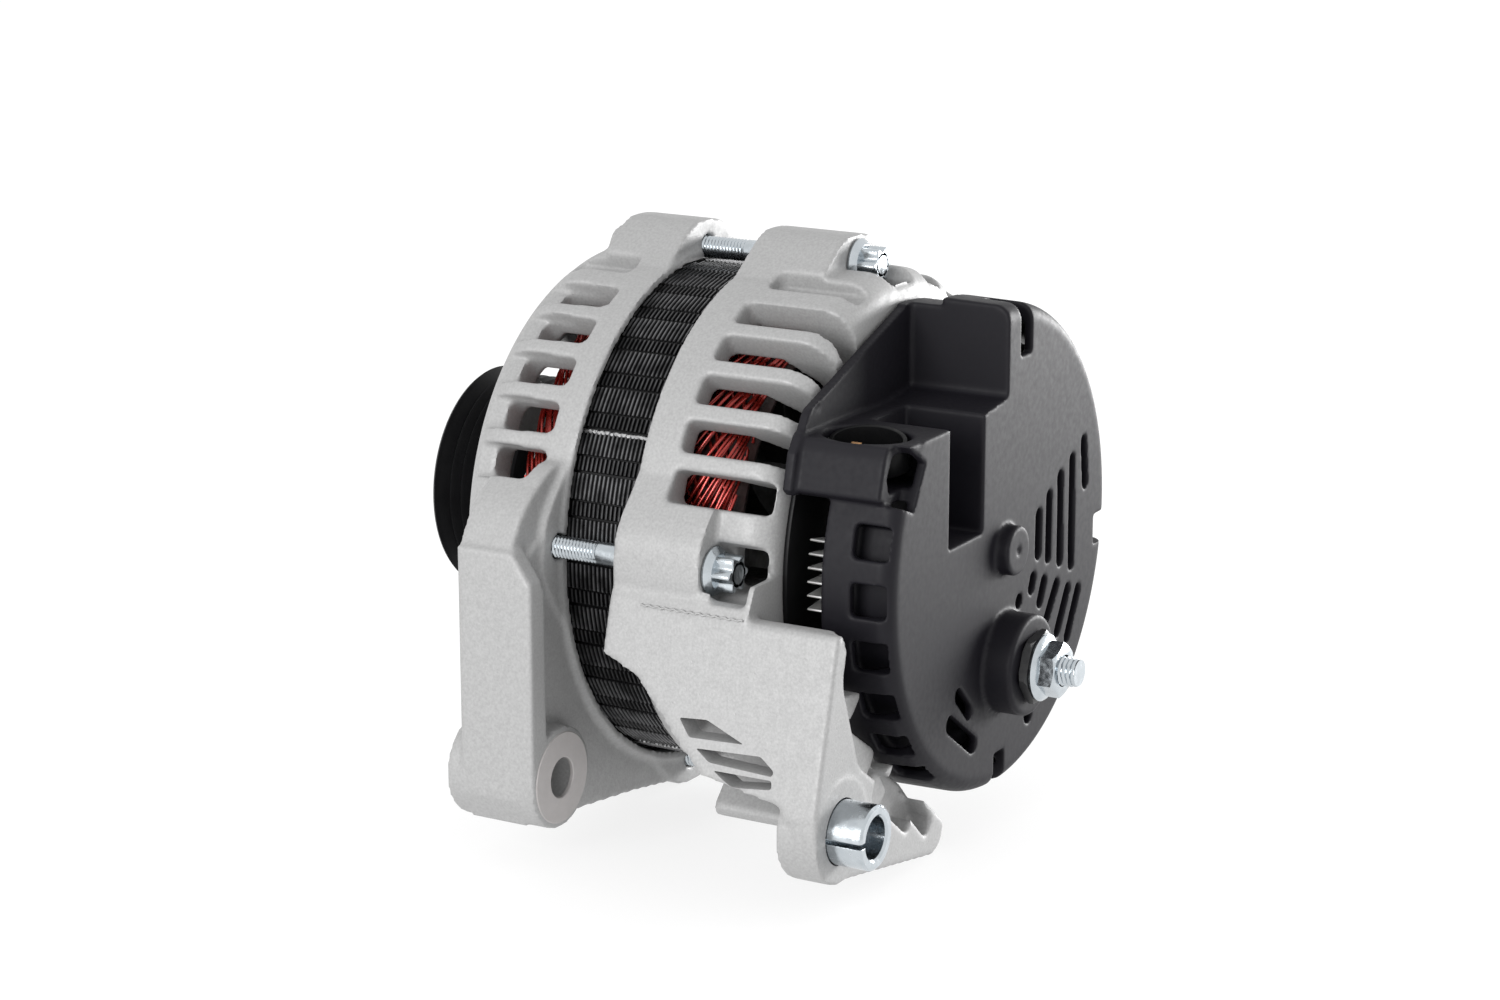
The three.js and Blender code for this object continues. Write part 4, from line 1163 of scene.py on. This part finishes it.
def add_to_housing():
    face = ring(5.3, 12.1, 87.7, 88.9, 96, 0.2, *FOOT)
    finish_piece(face, "foot_machined_face", "housing", MACHINED, [])
    # A deep black plate and curved wall between the rear bracket and the cover: painted shade for
    # the shadowed gap behind the fins.
    outline = [*arc(0, 0, 62.2, 152, 208, 50), *arc(0, 0, 38, 208, 152, 40)]
    shade_wall = [*arc(0, 0, 57.2, 206, 352, 90), *arc(0, 0, 55.6, 352, 206, 90)]
    sheet = carve(prism(outline, 30.6, 31.9), [prism(shade_wall, 15.6, 31.9)])
    sheet = settle(bevel(sheet, 0.2, 2, 40))
    finish_piece(sheet, "painted_shade_sheet", "housing", DEEP_BLACK, [])
    welds = merged([weld_bead(150.5 + 90 * k) for k in range(4)])
    finish_piece(welds, "stator_weld_beads", "housing", WELD, [])
    # The painted shade behind the end-turn wires.
    shade_ring = painted_shade_ring()
    finish_piece(shade_ring, "painted_shade_ring", "housing", WINDING_SHADE, ["stator_winding"])


def rebuild_brush_springs():
    """A coil spring in place of each brush spring node, spanning the node's height."""
    wire = SPRING["wire"]
    for side in ("outer", "inner"):
        node = f"brush_spring_{side}"
        low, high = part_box(node)
        station = (low[1] + high[1]) / 2 / MM + SHAFT_FRONT
        made = brush_spring(station, low[2] / MM + wire, high[2] / MM - wire)
        piece = rebuild(node, made, STEEL)
        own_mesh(piece)


def rebuild_rotor():
    rebuild("pulley", pulley(), DEEP_BLACK, "rotor")
    rebuild("pulley_nut", pulley_nut(), ZINC, "rotor")
    rebuild("rotor_shaft", shaft(), STEEL, "rotor")
    rebuild("front_fan", fan(101.3, 102, 107, 9, 8), SHEET, "rotor")
    rebuild("rear_fan", fan(61.3, 53.5, 62, 11, -8), ROTOR, "rotor")


def carry_over():
    """Gives each CAD node that stays its material, and breaks its edges."""
    looks = {
        "zinc_plated_steel": ZINC,
        "machined_steel": STEEL,
        "enamelled_copper": COPPER,
        "black_plastic": BLACK_PLASTIC,
        "brush_carbon": CARBON,
        "bronze": BRONZE,
        "heat_sink_aluminium": SHEET,
        "cast_aluminium": CAST,
        "laminated_steel": LAMINATION,
        "black_coated_steel": DEEP_BLACK,
        "cover_plastic": COVER_PLASTIC,
    }
    dark = {"front_claw_pole", "rear_claw_pole", "negative_heat_sink"}
    for part in frame["record"]["subparts"]:
        node = NODES[part["node"]]
        look = ROTOR if part["node"] in dark else looks[part["material_slot"]]
        node.data.materials.clear()
        node.data.materials.append(look)
        if not node.hide_render:
            bevel(node, 0.25, 2, 40)


rebuild_housing()
add_to_housing()
rebuild_rotor()
rebuild_brush_springs()
carry_over()


# ---- stage, light and camera --------------------------------------------------------------
def glowing(name, base, glow):
    look = Look(name, roughness=0.8)
    look.colour(look.noise(400, 2), (base, base, base), (base * 1.02, base * 1.02, base * 1.02))
    look.shader.inputs["Emission Color"].default_value = (1, 1, 1, 1)
    look.shader.inputs["Emission Strength"].default_value = glow
    return look.material


def stage_floor():
    low, reach = CAD_BOX[0][2] / MM, 4000
    near, far = SHAFT_FRONT - reach, SHAFT_FRONT + reach
    corners = [(-reach, near, low), (reach, near, low), (reach, far, low), (-reach, far, low)]
    floor = new_object(corners, [[0, 1, 2, 3]], "floor")
    floor.data.materials.append(glowing("pale floor", 0.2, 0.78))


def area_light(name, place, target, size, power):
    data = bpy.data.lights.new(name, "AREA")
    data.shape = "RECTANGLE"
    data.size, data.size_y = size
    data.energy = power
    lamp = bpy.data.objects.new(name, data)
    bpy.context.scene.collection.objects.link(lamp)
    lamp.location = place
    lamp.rotation_euler = (Vector(place) - Vector(target)).to_track_quat("Z", "Y").to_euler()


def lights():
    world = bpy.data.worlds.new("studio")
    world.use_nodes = True
    world.node_tree.nodes["Background"].inputs["Color"].default_value = (1, 1, 1, 1)
    world.node_tree.nodes["Background"].inputs["Strength"].default_value = 1.0
    bpy.context.scene.world = world
    middle = (-0.02, -0.08, 0.0)
    area_light("left", (-1.0, 0.0, 0.3), middle, (0.5, 0.5), 6.5)
    area_light("right", (0.85, -0.52, 0.06), middle, (0.9, 0.26), 12.5)


def camera():
    azimuth, elevation, distance = math.radians(-60.2), math.radians(14.65), 0.9217
    target = Vector((-0.0303, -0.0985, 0.0124))
    back = Vector(
        (
            math.sin(azimuth) * math.cos(elevation),
            -math.cos(azimuth) * math.cos(elevation),
            math.sin(elevation),
        )
    )
    right = Vector((math.cos(azimuth), math.sin(azimuth), 0))
    up = back.cross(right)
    data = bpy.data.cameras.new("camera")
    data.sensor_width = 36
    data.lens = 84.72
    data.clip_end = 50
    eye = bpy.data.objects.new("camera", data)
    bpy.context.scene.collection.objects.link(eye)
    turned = Matrix((right, up, back)).transposed().to_4x4()
    eye.matrix_world = Matrix.Translation(target + back * distance) @ turned
    bpy.context.scene.camera = eye


stage_floor()
lights()
camera()
bpy.context.scene.view_settings.view_transform = "Standard"

bpy.context.view_layer.update()
